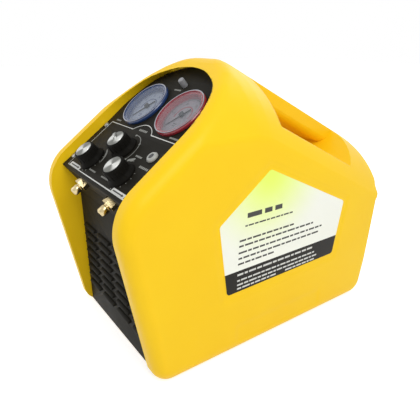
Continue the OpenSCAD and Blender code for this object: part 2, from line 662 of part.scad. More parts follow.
// Flare fitting: neck through the chin, hexagon, threaded flare end with a seat cone
module flare_fitting(x) on_control(x, 0, fitting_h) rotate([90, 0, 0]) difference() {
    union() {
        translate([0, 0, -block_s[0]]) cylinder(r = neck_r, h = block_s[0] + seat);
        hex(fitting_hex, fitting_hex * 0.5);
        rotate_extrude() polygon([[0, 0], [fitting_r * 0.86, 0], [fitting_r * 0.86, fitting_hex * 0.62],
            [fitting_r, fitting_hex * 0.7], [fitting_r, fitting_out * 0.9], [fitting_r * 0.6, fitting_out],
            [0, fitting_out]]);
    }
    translate([0, 0, -block_s[0] - over]) cylinder(r = fitting_r * 0.42, h = fitting_out * 3);
}
module input_fitting() color(brass) flare_fitting(-valve_x);
module output_fitting() color(brass) flare_fitting(valve_x);

module power_switch() color([0.75, 0.75, 0.73]) on_control(power_x, power_s) difference() {
    union() {
        rotate_extrude() polygon([[0, 0], [power_d / 2, 0], [power_d / 2, power_ht * 0.5],
            [power_d / 2 - power_ht * 0.4, power_ht], [0, power_ht]]);
        translate([0, 0, -power_d * 1.3]) cylinder(r = switch_r, h = power_d * 1.3 + over / 2);
    }
    translate([0, 0, -button_travel * 3]) cylinder(r = button_r + seat / 2, h = power_d);
}
module power_button() color([0.16, 0.16, 0.17]) on_control(power_x, power_s)
    translate([0, 0, -button_travel]) rotate_extrude() polygon([[0, 0], [button_r, 0],
        [button_r, button_travel + power_ht * 0.8], [button_r * 0.8, button_travel + power_ht], [0, button_travel + power_ht]]);

module pressure_switch() color([0.2, 0.2, 0.22]) on_gauge(0, reset_u) difference() {
    union() {
        translate([0, 0, -sheet_t - reset_body_r * 1.9]) cylinder(r = reset_body_r, h = reset_body_r * 1.9);
        translate([0, 0, -sheet_t - reset_body_r * 2.4]) cylinder(d = tube_d * 1.4, h = reset_body_r);
    }
    translate([0, 0, -sheet_t - reset_travel * 3]) cylinder(r = reset_d / 2 + seat, h = reset_ht * 2);
}
module reset_button() color([0.62, 0.63, 0.65]) on_gauge(0, reset_u) rotate_extrude()
    polygon([[0, -sheet_t - reset_travel], [reset_d / 2, -sheet_t - reset_travel], [reset_d / 2, reset_ht - over],
        [reset_d / 2 - over, reset_ht], [0, reset_ht]]);

module motor_shell() color([0.25, 0.26, 0.28]) difference() {
    union() {
        translate([0, motor_y, shaft_z]) rod_y(motor_d / 2, motor_len);
        for (i = [0:11]) translate([0, motor_y + motor_len * 0.25, shaft_z]) rotate([0, 30 * i + 15, 0])
            translate([-sheet_t / 2, 0, motor_d / 2 - over]) cube([sheet_t, motor_len * 0.5, sheet_t * 1.5 + over]);
        for (y = [motor_y + motor_len * 0.12, motor_y + motor_len * 0.72])
            translate([-mount_x - mount_r, y, plate_z + mount_ht])
                cube([(mount_x + mount_r) * 2, motor_len * 0.16, shaft_z - motor_d * 0.46 - plate_z - mount_ht]);
    }
    translate([0, motor_y - over, shaft_z]) rod_y(shaft_d / 2 + run, motor_len + over * 2);
    for (p = mount_places) translate([p[0], p[1], plate_z]) cylinder(r = mount_r / 3, h = mount_ht * 2.5);
    for (y = [motor_y - over, motor_y + motor_len - ledge_t]) translate([0, y, shaft_z]) for (i = [0:7])
        rotate([0, 45 * i, 0]) translate([0, 0, motor_d * 0.3]) rod_y(motor_d * 0.05, ledge_t + over);
}
module mount_pad(k) color([0.1, 0.1, 0.1]) translate([mount_places[k][0], mount_places[k][1], plate_z]) {
    rotate_extrude() polygon([[0, 0], [mount_r, 0], [mount_r, mount_ht * 0.25], [mount_r * 0.7, mount_ht * 0.5],
        [mount_r, mount_ht * 0.75], [mount_r, mount_ht], [0, mount_ht]]);
    translate([0, 0, -sheet_t]) cylinder(r = mount_r / 3, h = sheet_t + mount_ht + over * 2);
}
module mount_1() mount_pad(0);
module mount_2() mount_pad(1);
module mount_3() mount_pad(2);
module mount_4() mount_pad(3);

module crankcase() color([0.62, 0.63, 0.65]) difference() {
    union() {
        translate([-crank_half, shaft_y, shaft_z - crank_half]) cube([crank_half * 2, crank_len, crank_half * 2]);
        translate([0, motor_y - ledge_t * 2, shaft_z]) rod_y(motor_d * 0.42, ledge_t * 2);
    }
    translate([0, shaft_y + over * 3, shaft_z]) rod_y(shaft_d / 2 + run, crank_len + over);
}
// Finned barrel on one side of the crankcase
module barrel(side) color([0.7, 0.71, 0.72]) translate([side * crank_half, crank_y, shaft_z]) rotate([0, side * 90, 0]) {
    cylinder(r = barrel_r * 0.8, h = barrel_len);
    for (i = [0:5]) translate([0, 0, barrel_len * (i + 0.35) / 6]) cylinder(r = barrel_r, h = barrel_len / 18);
}
module left_cylinder() barrel(-1);
module right_cylinder() barrel(1);
// Cylinder head with corner bolts and a gas port on top
module head(side) color([0.58, 0.59, 0.61]) translate([side * (crank_half + barrel_len), crank_y, shaft_z])
    rotate([0, side * 90, 0]) difference() {
        union() {
            linear_extrude(head_t) polygon(rounded_rect(barrel_r * 1.9, barrel_r * 1.9, barrel_r * 0.3));
            for (i = [-1, 0, 1]) translate([-barrel_r * 0.8, i * barrel_r * 0.5 - sheet_t / 2, head_t - over])
                cube([barrel_r * 1.6, sheet_t, ledge_t + over]);
        }
        translate([0, 0, head_t / 2]) rotate([0, -90 * side, 0]) cylinder(d = tube_d, h = barrel_r * 2);
    }
module left_head() head(-1);
module right_head() head(1);

// Shaft from the crankcase through the motor to the fan
module motor_shaft() color(silver) translate([0, shaft_y + over * 4, shaft_z]) rod_y(shaft_d / 2, shaft_len);

module fan() color([0.2, 0.2, 0.22]) translate([0, fan_hub_y, shaft_z]) rotate([-90, 0, 0]) difference() {
    union() {
        cylinder(r = hub_r, h = hub_len);
        for (i = [0:blades - 1]) rotate([0, 0, 360 / blades * i]) fan_blade();
    }
    translate([0, 0, -over]) cylinder(d = shaft_d, h = hub_len + over * 2);
}
// One pitched blade, cut from a tilted plate by the fan's circle
module fan_blade() intersection() {
    translate([hub_r * 0.8, 0, hub_len / 2]) rotate([blade_pitch, 0, 0])
        translate([0, -fan_d * 0.17, -sheet_t / 2]) cube([fan_d / 2, fan_d * 0.34, sheet_t]);
    cylinder(d = fan_d, h = hub_len);
}

function row_z(i) = cond_z[0] + row_pitch * (i + 0.5);
module condenser_fins() color([0.78, 0.79, 0.8]) difference() {
    union() {
        for (i = [0:fin_count - 1]) translate([-cond_half + case_wall + (2 * cond_half - 2 * case_wall) * i / fin_count, cond_y, cond_z[0]])
            cube([sheet_t / 3, cond_t, cond_z[1] - cond_z[0]]);
        translate([-cond_half + case_wall, cond_y + cond_t * 0.3, cond_z[0]])
            cube([2 * cond_half - 2 * case_wall - sheet_t, cond_t * 0.4, cond_z[1] - cond_z[0]]);
    }
    for (i = [0:cond_rows - 1]) translate([-cond_half, cond_y + cond_t / 2, row_z(i)]) rod_x(tube_d / 2, cond_half * 2);
}
module condenser_frame() color([0.7, 0.71, 0.72]) for (side = [-1, 1]) difference() {
    union() {
        translate([side * cond_half - (side > 0 ? sheet_t : 0), cond_y - case_wall / 2, plate_z])
            cube([sheet_t, cond_t + case_wall, cond_z[1] - plate_z]);
        translate([side * cond_half - (side > 0 ? sheet_t : 0) + (side > 0 ? 0 : -foot_w + sheet_t), cond_y - case_wall / 2, plate_z])
            cube([foot_w, cond_t + case_wall, sheet_t]);
    }
    for (i = [0:cond_rows - 1]) translate([side * cond_half - cond_half, cond_y + cond_t / 2, row_z(i)])
        rod_x(tube_d / 2 + seat, cond_half * 2);
}
module condenser_tubes() color(copper) {
    for (i = [0:cond_rows - 1]) translate([-cond_half - tube_d * 0.6, cond_y + cond_t / 2, row_z(i)])
        rod_x(tube_d / 2, (cond_half + tube_d * 0.6) * 2);
    for (i = [0:cond_rows - 2]) translate([(i % 2 == 0 ? 1 : -1) * (cond_half + tube_d * 0.6), cond_y + cond_t / 2, row_z(i) + row_pitch / 2])
        rotate([90, 0, 0]) rotate([0, 0, i % 2 == 0 ? -90 : 90]) rotate_extrude(angle = 180)
            translate([row_pitch / 2, 0]) circle(d = tube_d, $fn = 24);
}

module capacitor() color([0.85, 0.86, 0.87]) translate([cap_x, motor_y, shaft_z + motor_d * 0.5]) rod_y(cap_r, cap_len);
module capacitor_strap() color([0.6, 0.6, 0.62]) translate([0, motor_y + cap_len * 0.4, 0]) {
    translate([cap_x, 0, shaft_z + motor_d * 0.5]) difference() {
        rod_y(cap_r + sheet_t, cap_len * 0.2);
        translate([0, -over, 0]) rod_y(cap_r, cap_len * 0.2 + over * 2);
    }
    translate([cap_x + cap_r, 0, plate_z]) cube([sheet_t, cap_len * 0.2, shaft_z + motor_d * 0.5 - plate_z]);
}

// Round tube along a path of points, with bends of one radius, swept as one body
module pipe(path, r, bend) {
    route = rounded_path(path, bend);
    n = len(route);
    frames = [for (i = 0, t = unit(route[1] - route[0]), u = first_side(route); i < n;
        i = i + 1, t = i < n ? tangent(route, i) : t, u = unit(u - t * (u * t))) [t, u]];
    rings = [for (i = [0:n - 1]) for (k = [0:pipe_sides - 1])
        let (a = 360 * k / pipe_sides, u = frames[i][1], v = cross(frames[i][0], u))
        route[i] + r * (u * cos(a) + v * sin(a))];
    polyhedron(rings, concat([[for (k = [0:pipe_sides - 1]) k]],
        [for (i = [0:n - 2]) for (k = [0:pipe_sides - 1]) let (m = (k + 1) % pipe_sides, b = i * pipe_sides)
            [b + m, b + k, b + k + pipe_sides, b + m + pipe_sides]],
        [[for (k = [pipe_sides - 1:-1:0]) (n - 1) * pipe_sides + k]]));
}
function unit(v) = v / norm(v);
function tangent(route, i) = i == 0 ? unit(route[1] - route[0]) : i == len(route) - 1 ?
    unit(route[i] - route[i - 1]) : unit(unit(route[i] - route[i - 1]) + unit(route[i + 1] - route[i]));
function first_side(route) = let (t = unit(route[1] - route[0]),
    e = abs(t[0]) < 0.7 ? [1, 0, 0] : [0, 1, 0]) unit(e - t * (e * t));
// Replaces each inner corner of a path by points along an arc
function rounded_path(path, bend) = concat([path[0]],
    [for (i = [1:len(path) - 2]) each corner_arc(path[i - 1], path[i], path[i + 1], bend)], [path[len(path) - 1]]);
function corner_arc(a, b, c, bend) = let (u = unit(b - a), v = unit(c - b), turn = acos(u * v),
    axis = unit(cross(u, v)), side = cross(axis, u), start = b - u * bend * tan(turn / 2), steps = ceil(turn / 22.5))
    [for (i = [0:steps]) let (w = turn * i / steps) start + u * bend * sin(w) + side * bend * (1 - cos(w))];

// A point on the control slope in the row frame, and one on the gauge slope
function control_pt(x, s, h) = [x, edge_pt[0] + s * cos(panel_tilt) - h * sin(panel_tilt),
    edge_pt[1] + s * sin(panel_tilt) + h * cos(panel_tilt)];
function gauge_pt(x, u, h) = [x, bend_pt[0] + u * cos(gauge_tilt) - h * sin(gauge_tilt),
    bend_pt[1] + u * sin(gauge_tilt) + h * cos(gauge_tilt)];

// Gas from the inlet valve to the left head
module suction_tube() color(copper) pipe([control_pt(-valve_x, port_s, fitting_h),
    control_pt(-valve_x, port_s + tube_d * 2, fitting_h),
    [-valve_x * 0.6, crank_y, head_top + motor_d * 0.62], [-head_x, crank_y, head_top + motor_d * 0.5],
    [-head_x, crank_y, head_top - seat]], tube_d / 2, tube_bend);
// Hot gas from the right head to the top of the condenser
module discharge_tube() color(copper) pipe([[head_x, crank_y, head_top - seat], [head_x, crank_y, head_top + tube_d * 3],
    [cond_half + tube_d * 0.6 + tube_bend, crank_y + motor_len * 0.3, row_z(cond_rows - 1)],
    [cond_half + tube_d * 0.6 + tube_bend, cond_y + cond_t / 2, row_z(cond_rows - 1)],
    [cond_half + tube_d * 0.6, cond_y + cond_t / 2, row_z(cond_rows - 1)]], tube_d / 2, tube_bend * 0.6);
// Liquid from the bottom of the condenser back to the outlet valve
module return_tube() color(copper) pipe([[-cond_half - tube_d * 0.6, cond_y + cond_t / 2, row_z(0)],
    [-cond_half - tube_d * 0.6 - tube_bend, cond_y + cond_t / 2, row_z(0)],
    [-cond_half - tube_d * 0.6 - tube_bend, motor_y, row_z(0)],
    [-cond_half - tube_d * 0.6 - tube_bend, motor_y, head_top + motor_d * 0.8],
    [valve_x * 0.4, motor_y, head_top + motor_d * 0.8],
    control_pt(valve_x, port_s + tube_d * 2, fitting_h), control_pt(valve_x, port_s, fitting_h)], tube_d / 2, tube_bend * 0.6);
// Thin tubes from the underside of the block to the gauge sockets
module gauge_tube(side) color(copper) pipe([control_pt(side * gauge_port_x, gauge_port_s, block_top - block_deep),
    control_pt(side * gauge_port_x, gauge_port_s, block_top - block_deep - tube_d * 2),
    gauge_pt(side * gauge_x, gauge_u - gauge_body_r * 0.45, -gauge_depth - socket_len - tube_d * 2),
    gauge_pt(side * gauge_x, gauge_u - gauge_body_r * 0.45, -gauge_depth - socket_len)], tube_d / 2, tube_bend * 0.5);
module low_gauge_tube() gauge_tube(-1);
module high_gauge_tube() gauge_tube(1);

// Pan head screws of the control panel and of the rear panel
module pan_screw(len) {
    translate([0, 0, -len]) cylinder(r = screw_r, h = len);
    rotate_extrude() polygon([[0, 0], [screw_r * 2, 0], [screw_r * 1.8, screw_r * 0.7], [screw_r * 0.8, screw_r], [0, screw_r]]);
}
module panel_screws() color(silver) for (p = panel_screw_places) panel_screw_at(p) pan_screw(sheet_t);
module rear_screws() color(silver) for (p = rear_screw_places) rear_screw_at(p) pan_screw(sheet_t);

case_shell();
control_panel();
front_grille();
base_plate();
rear_panel();
fan_guard();
power_inlet();
side_label();
low_gauge_case();
low_gauge_dial();
low_gauge_lens();
low_gauge_pointer();
high_gauge_case();
high_gauge_dial();
high_gauge_lens();
high_gauge_pointer();
valve_block();
input_bonnet();
output_bonnet();
mode_bonnet();
input_stem();
output_stem();
mode_stem();
input_knob();
output_knob();
mode_knob();
input_cap();
output_cap();
mode_cap();
input_fitting();
output_fitting();
power_switch();
power_button();
pressure_switch();
reset_button();
motor_shell();
crankcase();
left_cylinder();
right_cylinder();
left_head();
right_head();
motor_shaft();
fan();
condenser_fins();
condenser_tubes();
condenser_frame();
capacitor();
capacitor_strap();
mount_1();
mount_2();
mount_3();
mount_4();
suction_tube();
discharge_tube();
return_tube();
low_gauge_tube();
high_gauge_tube();
panel_screws();
rear_screws();
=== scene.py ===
"""Looks of a portable refrigerant recovery machine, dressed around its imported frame.

Everything is in metres, in the frame of the CAD model: X to the right seen from the
front, Y to the back, Z up, with the floor at zero.
"""
import logging
import math
from collections.abc import Iterable, Sequence
from dataclasses import dataclass, field
from enum import Enum

import bmesh
import bpy
from mathutils import Matrix, Vector
from mathutils.bvhtree import BVHTree


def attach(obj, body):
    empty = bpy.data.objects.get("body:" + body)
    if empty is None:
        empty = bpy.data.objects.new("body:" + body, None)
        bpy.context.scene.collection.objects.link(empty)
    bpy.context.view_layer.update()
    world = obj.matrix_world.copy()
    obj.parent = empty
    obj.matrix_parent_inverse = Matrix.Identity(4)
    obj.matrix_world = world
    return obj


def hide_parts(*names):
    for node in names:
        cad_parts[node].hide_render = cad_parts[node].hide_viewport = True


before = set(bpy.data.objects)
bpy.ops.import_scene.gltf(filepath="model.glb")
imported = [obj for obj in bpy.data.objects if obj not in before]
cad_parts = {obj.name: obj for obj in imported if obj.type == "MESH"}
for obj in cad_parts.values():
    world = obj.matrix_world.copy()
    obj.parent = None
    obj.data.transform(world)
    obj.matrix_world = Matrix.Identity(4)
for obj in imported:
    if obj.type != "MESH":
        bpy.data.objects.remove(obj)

MM = 0.001
CHASSIS = "chassis"
SIDE_ON = Matrix(((0, 0, 1, 0), (1, 0, 0, 0), (0, 1, 0, 0), (0, 0, 0, 1)))  # lays X and Y along Y and Z
LOG = logging.getLogger("recovery_machine")

BMesh = bmesh.types.BMesh
SceneObject = bpy.types.Object
Socket = bpy.types.NodeSocket
Tree = bpy.types.NodeTree
Point2 = tuple[float, float]
Outline = Sequence[Point2]


def linear(hex_colour: str) -> tuple[float, float, float, float]:
    """Turns an sRGB hex colour into the linear colour that shaders use.

    Args:
        hex_colour: Six hex digits after a hash sign.

    Returns:
        Linear red, green, blue and an alpha of one.
    """
    parts = [int(hex_colour[i:i + 2], 16) / 255 for i in (1, 3, 5)]
    red, green, blue = (p / 12.92 if p <= 0.04045 else ((p + 0.055) / 1.055) ** 2.4 for p in parts)
    return red, green, blue, 1.0


def wave_scale(pitch_mm: float) -> float:
    """Gives the scale at which a wave texture repeats at a pitch."""
    return 2 * math.pi / (20 * pitch_mm * MM)


def add_node(tree: Tree, kind: str, settings: dict | None = None,
             links: dict | None = None) -> bpy.types.Node:
    """Adds one node with its settings and its incoming links.

    Args:
        tree: The tree that gets the node.
        kind: The node's type name.
        settings: Socket values by socket name or number, and properties by lower-case name.
        links: Output sockets to join, by the name or number of the input they go to.

    Returns:
        The new node.
    """
    node = tree.nodes.new(kind)
    for key, value in (settings or {}).items():
        if isinstance(key, str) and hasattr(node, key):
            setattr(node, key, value)
        else:
            node.inputs[key].default_value = value
    for key, socket in (links or {}).items():
        tree.links.new(socket, node.inputs[key])
    return node


@dataclass(frozen=True)
class Finish:
    """A real surface: its colour, its gloss, and the fine relief that catches light.

    Attributes:
        name: Common name of the material and how its surface was made.
        colour: sRGB hex colour.
        second: Colour of the slow cloudy variation over the surface.
        rough: Mean roughness.
        rough_swing: How far roughness wanders to each side of the mean.
        metallic: One for bare metal, zero for anything else.
        grain_mm: Size of one grain of the relief.
        relief_mm: Height of the relief.
        coat: Strength of a clear top layer.
        ior: Index of refraction, for what isn't bare metal.
    """

    name: str
    colour: str
    second: str
    rough: float
    rough_swing: float = 0.05
    metallic: float = 0.0
    grain_mm: float = 0.5
    relief_mm: float = 0.02
    coat: float = 0.0
    ior: float = 1.5

    def build(self) -> bpy.types.Material:
        """Makes the material, or returns it where it has been made already."""
        known = bpy.data.materials.get(self.name)
        if known is not None:
            return known
        material = bpy.data.materials.new(self.name)
        material.use_nodes = True
        tree = material.node_tree
        shader = tree.nodes["Principled BSDF"]
        shader.inputs["Metallic"].default_value = self.metallic
        if self.metallic < 0.5:
            shader.inputs["IOR"].default_value = self.ior
        if self.coat > 0:
            shader.inputs["Coat Weight"].default_value = self.coat
            shader.inputs["Coat Roughness"].default_value = 0.08
        place = add_node(tree, "ShaderNodeTexCoord").outputs["Object"]
        tree.links.new(self.paint(tree, place), shader.inputs["Base Color"])
        tree.links.new(self.gloss(tree, place), shader.inputs["Roughness"])
        height = self.relief(tree, place)
        bump = add_node(tree, "ShaderNodeBump", {"Strength": 1.0, "Distance": self.relief_mm * MM},
                        {"Height": height})
        tree.links.new(bump.outputs["Normal"], shader.inputs["Normal"])
        return material

    def paint(self, tree: Tree, place: Socket) -> Socket:
        """Gives the colour: the main one, clouded with the second over some centimetres."""
        cloud = add_node(tree, "ShaderNodeTexNoise", {"Scale": 14.0, "Detail": 3.0}, {"Vector": place})
        mix = add_node(tree, "ShaderNodeMix", {"data_type": "RGBA", 6: linear(self.colour), 7: linear(self.second)},
                       {0: cloud.outputs["Fac"]})
        return mix.outputs[2]

    def gloss(self, tree: Tree, place: Socket) -> Socket:
        """Gives the roughness, a little uneven as handled surfaces are."""
        smear = add_node(tree, "ShaderNodeTexNoise", {"Scale": 60.0, "Detail": 4.0, "Roughness": 0.6},
                         {"Vector": place})
        spread = add_node(tree, "ShaderNodeMapRange",
                          {"To Min": self.rough - self.rough_swing, "To Max": self.rough + self.rough_swing},
                          {"Value": smear.outputs["Fac"]})
        return spread.outputs["Result"]

    def relief(self, tree: Tree, place: Socket) -> Socket:
        """Gives the height of the fine grain of a moulded, cast or sprayed surface."""
        grain = add_node(tree, "ShaderNodeTexNoise",
                         {"Scale": 1.0 / (self.grain_mm * MM), "Detail": 2.0, "Roughness": 0.5}, {"Vector": place})
        return grain.outputs["Fac"]


@dataclass(frozen=True)
class LineFinish(Finish):
    """A turned, drawn or spun metal with fine parallel tool lines.

    Attributes:
        pitch_mm: Distance between two lines.
        axis: Letter of the object axis along which the lines follow one another.
        tilt: Turn of that axis about X, in degrees.
    """

    pitch_mm: float = 0.6
    axis: str = "Z"
    tilt: float = 0.0

    def relief(self, tree: Tree, place: Socket) -> Socket:
        """Gives the height of the tool lines, each a little different from the next."""
        turned = add_node(tree, "ShaderNodeMapping", {"Rotation": (math.radians(self.tilt), 0.0, 0.0)},
                          {"Vector": place})
        lines = add_node(tree, "ShaderNodeTexWave",
                         {"bands_direction": self.axis, "Scale": wave_scale(self.pitch_mm),
                          "Distortion": 1.2, "Detail": 2.0}, {"Vector": turned.outputs["Vector"]})
        return lines.outputs["Fac"]


@dataclass(frozen=True)
class SpunFinish(Finish):
    """A disc of metal spun or brushed in circles about the axis of a knob, with painted fan-shaped highlights in its
    colour.

    Attributes:
        centre: The disc's centre, in metres.
        tilt: Slope of the disc about X, in degrees.
        pitch_mm: Distance between two circles.
        painted_glint: Colour of the painted fan-shaped highlights.
        lobes: Number of the painted fan-shaped highlights.
    """

    centre: tuple[float, float, float] = (0.0, 0.0, 0.0)
    tilt: float = 0.0
    pitch_mm: float = 0.5
    painted_glint: str = "#DADBD7"
    lobes: int = 2

    def flat(self, tree: Tree, place: Socket) -> Socket:
        """Gives the place in the plane of the disc, from its centre."""
        moved = add_node(tree, "ShaderNodeVectorMath", {"operation": "SUBTRACT", 1: self.centre}, {0: place})
        turned = add_node(tree, "ShaderNodeMapping", {"Rotation": (math.radians(-self.tilt), 0.0, 0.0)},
                          {"Vector": moved.outputs["Vector"]})
        return turned.outputs["Vector"]

    def paint(self, tree: Tree, place: Socket) -> Socket:
        """Paints fan-shaped highlights into the colour, standing in for the bright sheen that circular brushing throws
        across a disc.
        """
        angle = add_node(tree, "ShaderNodeTexGradient", {"gradient_type": "RADIAL"}, {"Vector": self.flat(tree, place)})
        phase = add_node(tree, "ShaderNodeMath", {"operation": "MULTIPLY_ADD", 1: 2 * math.pi * self.lobes, 2: 1.1},
                         {0: angle.outputs["Fac"]})
        swing = add_node(tree, "ShaderNodeMath", {"operation": "SINE"}, {0: phase.outputs["Value"]})
        share = add_node(tree, "ShaderNodeMapRange", {"From Min": -0.6, "From Max": 1.0,
                                                      "interpolation_type": "SMOOTHSTEP"},
                         {"Value": swing.outputs["Value"]})
        painted_fans = add_node(tree, "ShaderNodeMix", {"data_type": "RGBA", 6: linear(self.colour), 7: linear(self.painted_glint)},
                        {0: share.outputs["Result"]})
        return painted_fans.outputs[2]

    def relief(self, tree: Tree, place: Socket) -> Socket:
        """Gives the height of the circles that the tool leaves."""
        rings = add_node(tree, "ShaderNodeTexWave",
                         {"wave_type": "RINGS", "rings_direction": "Z",
                          "Scale": wave_scale(self.pitch_mm), "Distortion": 0.6, "Detail": 2.0},
                         {"Vector": self.flat(tree, place)})
        return rings.outputs["Fac"]


@dataclass(frozen=True)
class ClearFinish(Finish):
    """A thin clear moulded window with a faint veil of glare over what lies behind it.

    Attributes:
        veil: Share of the light that the window's own surface sends back.
    """

    veil: float = 0.2

    def build(self) -> bpy.types.Material:
        """Makes the clear material with its own alpha."""
        known = bpy.data.materials.get(self.name)
        if known is not None:
            return known
        material = super().build()
        material.node_tree.nodes["Principled BSDF"].inputs["Alpha"].default_value = self.veil
        return material


@dataclass(frozen=True)
class LabelFinish(Finish):
    """Printed film whose pale colour fades across the label, with a dark band at its foot.

    Attributes:
        apex: Place of the strongest yellow, as Y and Z.
        fade_mm: Distance from the apex to white.
        band_top_mm: Height of the top of the dark band.
        white: Colour past the fade.
        dark: Colour of the band.
    """

    apex: tuple[float, float] = (0.0, 0.0)
    fade_mm: float = 100.0
    band_top_mm: float = 120.0
    white: str = "#F6F8EE"
    dark: str = "#1D1B18"

    def paint(self, tree: Tree, place: Socket) -> Socket:
        """Gives the printed fade and the dark band."""
        apart = add_node(tree, "ShaderNodeVectorMath",
                         {"operation": "DISTANCE", 1: (0.125, self.apex[0], self.apex[1])}, {0: place})
        ramp = add_node(tree, "ShaderNodeMapRange",
                        {"From Min": 0.0, "From Max": self.fade_mm * MM, "interpolation_type": "SMOOTHSTEP"},
                        {"Value": apart.outputs["Value"]})
        fade = add_node(tree, "ShaderNodeMix",
                        {"data_type": "RGBA", 6: linear(self.colour), 7: linear(self.white)},
                        {0: ramp.outputs["Result"]})
        split = add_node(tree, "ShaderNodeSeparateXYZ", {}, {"Vector": place})
        low = add_node(tree, "ShaderNodeMath", {"operation": "LESS_THAN", 1: self.band_top_mm * MM},
                       {0: split.outputs["Z"]})
        band = add_node(tree, "ShaderNodeMix", {"data_type": "RGBA", 7: linear(self.dark)},
                        {0: low.outputs["Value"], 6: fade.outputs[2]})
        return band.outputs[2]


@dataclass(frozen=True)
class FinFinish(Finish):
    """A stack of thin aluminium fins, seen edge on as a dense row of lines.

    Attributes:
        pitch_mm: Distance between two fins.
    """

    pitch_mm: float = 2.5

    def relief(self, tree: Tree, place: Socket) -> Socket:
        """Gives deep narrow gaps across the width of the stack."""
        rows = add_node(tree, "ShaderNodeTexWave",
                        {"bands_direction": "X", "Scale": wave_scale(self.pitch_mm)},
                        {"Vector": place})
        return rows.outputs["Fac"]


class Surface(Enum):
    """The finishes of this machine, by the part of it that carries them."""

    # Satin yellow with a faint orange peel: soft highlights that spread along the rounded edges.
    CASE = Finish("rotomoulded_polyethylene", "#FDD217", "#F9C910", 0.42, 0.05, grain_mm=0.9, relief_mm=0.03,
                  ior=1.3)
    # Nearly black brown, so matt that the white room hardly shows in it.
    PANEL = Finish("powder_coated_steel_sheet", "#1B1914", "#201E18", 0.6, 0.06, grain_mm=0.7, relief_mm=0.04,
                   ior=1.2)
    # Flat pale lines that keep the same tone from every side.
    INK = Finish("screen_printed_ink", "#D9DAD6", "#CFD0CC", 0.55, grain_mm=0.2, relief_mm=0.005)
    # Dimmer print of the small words and arcs.
    INK_DIM = Finish("screen_printed_grey_white_ink", "#8C8D89", "#84857F", 0.55, grain_mm=0.2, relief_mm=0.005)
    # Dull dark print without a shine of its own.
    INK_DARK = Finish("screen_printed_dark_ink", "#2B2A28", "#302F2D", 0.55, grain_mm=0.2, relief_mm=0.005)
    # Grey print, thinner than solid black.
    INK_GREY = Finish("screen_printed_grey_ink", "#33332E", "#3B3B36", 0.55, grain_mm=0.2, relief_mm=0.005)
    # Deep black with a soft edge light on the flutes.
    KNOB = Finish("moulded_black_abs", "#12110F", "#171613", 0.5, 0.06, grain_mm=0.4, relief_mm=0.02, ior=1.12)
    # Pale warm yellow metal with bright faces and deep brown ones.
    BRASS = LineFinish("turned_brass", "#D3C39A", "#BFAB7C", 0.22, 0.06, metallic=1.0, relief_mm=0.012,
                       pitch_mm=0.5, tilt=35.8)
    # Darker copy of the brass for the threads: painted shade, where the threads mirror dark surroundings.
    BRASS_SHADED = Finish("brass_thread_painted_shade", "#8C7B55", "#7A6A47", 0.3, 0.08, metallic=1.0, grain_mm=0.8,
                        relief_mm=0.01)
    # Cool grey metal with a slightly patchy sheen.
    STEEL = Finish("zinc_plated_steel", "#B9BCBE", "#A9ADB0", 0.34, 0.08, metallic=1.0, grain_mm=3.0,
                   relief_mm=0.01)
    # Even light grey plastic, half matt.
    BUTTON_RING = Finish("moulded_light_grey_abs", "#A9AAA6", "#A1A29E", 0.38, grain_mm=0.4, relief_mm=0.01)
    # Charcoal plastic, a little lighter than the panel round it.
    BUTTON = Finish("moulded_dark_grey_abs", "#3A3A3C", "#333335", 0.42, grain_mm=0.4, relief_mm=0.02)
    # Mid grey plastic cap with a rounded highlight.
    RESET = Finish("moulded_mid_grey_abs", "#8F9093", "#87888B", 0.42, grain_mm=0.4, relief_mm=0.02)
    # Glossy deep blue paint that mirrors the room along its rim.
    LOW_CASE = Finish("blue_enamelled_steel", "#26406F", "#213A69", 0.26, grain_mm=1.2, relief_mm=0.01, coat=0.4)
    # Glossy red paint that mirrors the room along its rim.
    HIGH_CASE = Finish("red_enamelled_steel", "#9A2B38", "#912733", 0.26, grain_mm=1.2, relief_mm=0.01, coat=0.4)
    # Matt pale blue face that keeps the scale easy to read.
    LOW_DIAL = Finish("printed_aluminium_dial_cool", "#8A93A5", "#828B9D", 0.5, grain_mm=0.5, relief_mm=0.004)
    # Matt pale rose face.
    HIGH_DIAL = Finish("printed_aluminium_dial_warm", "#827D84", "#7A757C", 0.5, grain_mm=0.5, relief_mm=0.004)
    # Clear window with a milky veil of glare.
    LENS = ClearFinish("clear_polycarbonate", "#B9BFC8", "#C2C8D0", 0.06, 0.02, grain_mm=8.0, relief_mm=0.01,
                       ior=1.585, veil=0.12)
    # Light grey ring on the window's rim: a real edge, coloured as a painted highlight where its cut edge gathers
    # light.
    LENS_RIM_HIGHLIGHT = Finish("polycarbonate_rim_painted_highlight", "#9497A2", "#8A8D98", 0.18, 0.04, grain_mm=2.0,
                       relief_mm=0.01, coat=0.5)
    # Flat black that stands out from the dial.
    NEEDLE = Finish("matt_black_lacquer", "#0D0D0E", "#131314", 0.6, grain_mm=0.3, relief_mm=0.005, ior=1.3)
    # Matt blue print of the low scale.
    SCALE_BLUE = Finish("blue_dial_ink", "#1B2A57", "#21325F", 0.55, grain_mm=0.2, relief_mm=0.004)
    # Matt red print of the high scale.
    SCALE_RED = Finish("red_dial_ink", "#861F33", "#7E1C2F", 0.55, grain_mm=0.2, relief_mm=0.004)
    # Gloss film, lemon yellow round its upper corner and white away from it.
    LABEL = LabelFinish("printed_polyester_film", "#EBFF6E", "#E8FC72", 0.34, 0.03, grain_mm=1.5,
                        relief_mm=0.006, ior=1.25, apex=(-0.024, 0.236), fade_mm=112.0)
    # Warm salmon metal, dulled in patches by handling and heat.
    COPPER = Finish("drawn_copper", "#C4795A", "#B56C4C", 0.3, 0.1, metallic=1.0, grain_mm=2.0, relief_mm=0.02)
    # Dull grey metal with the pitted skin that sand leaves.
    CAST = Finish("sand_cast_aluminium", "#A3A6A8", "#969A9D", 0.5, 0.08, metallic=1.0, grain_mm=0.8,
                  relief_mm=0.08)
    # Bright flat faces with fine parallel cutter lines.
    BLOCK = LineFinish("milled_aluminium", "#B8BBBD", "#AEB2B5", 0.32, 0.06, metallic=1.0, relief_mm=0.015,
                       pitch_mm=0.8, axis="X")
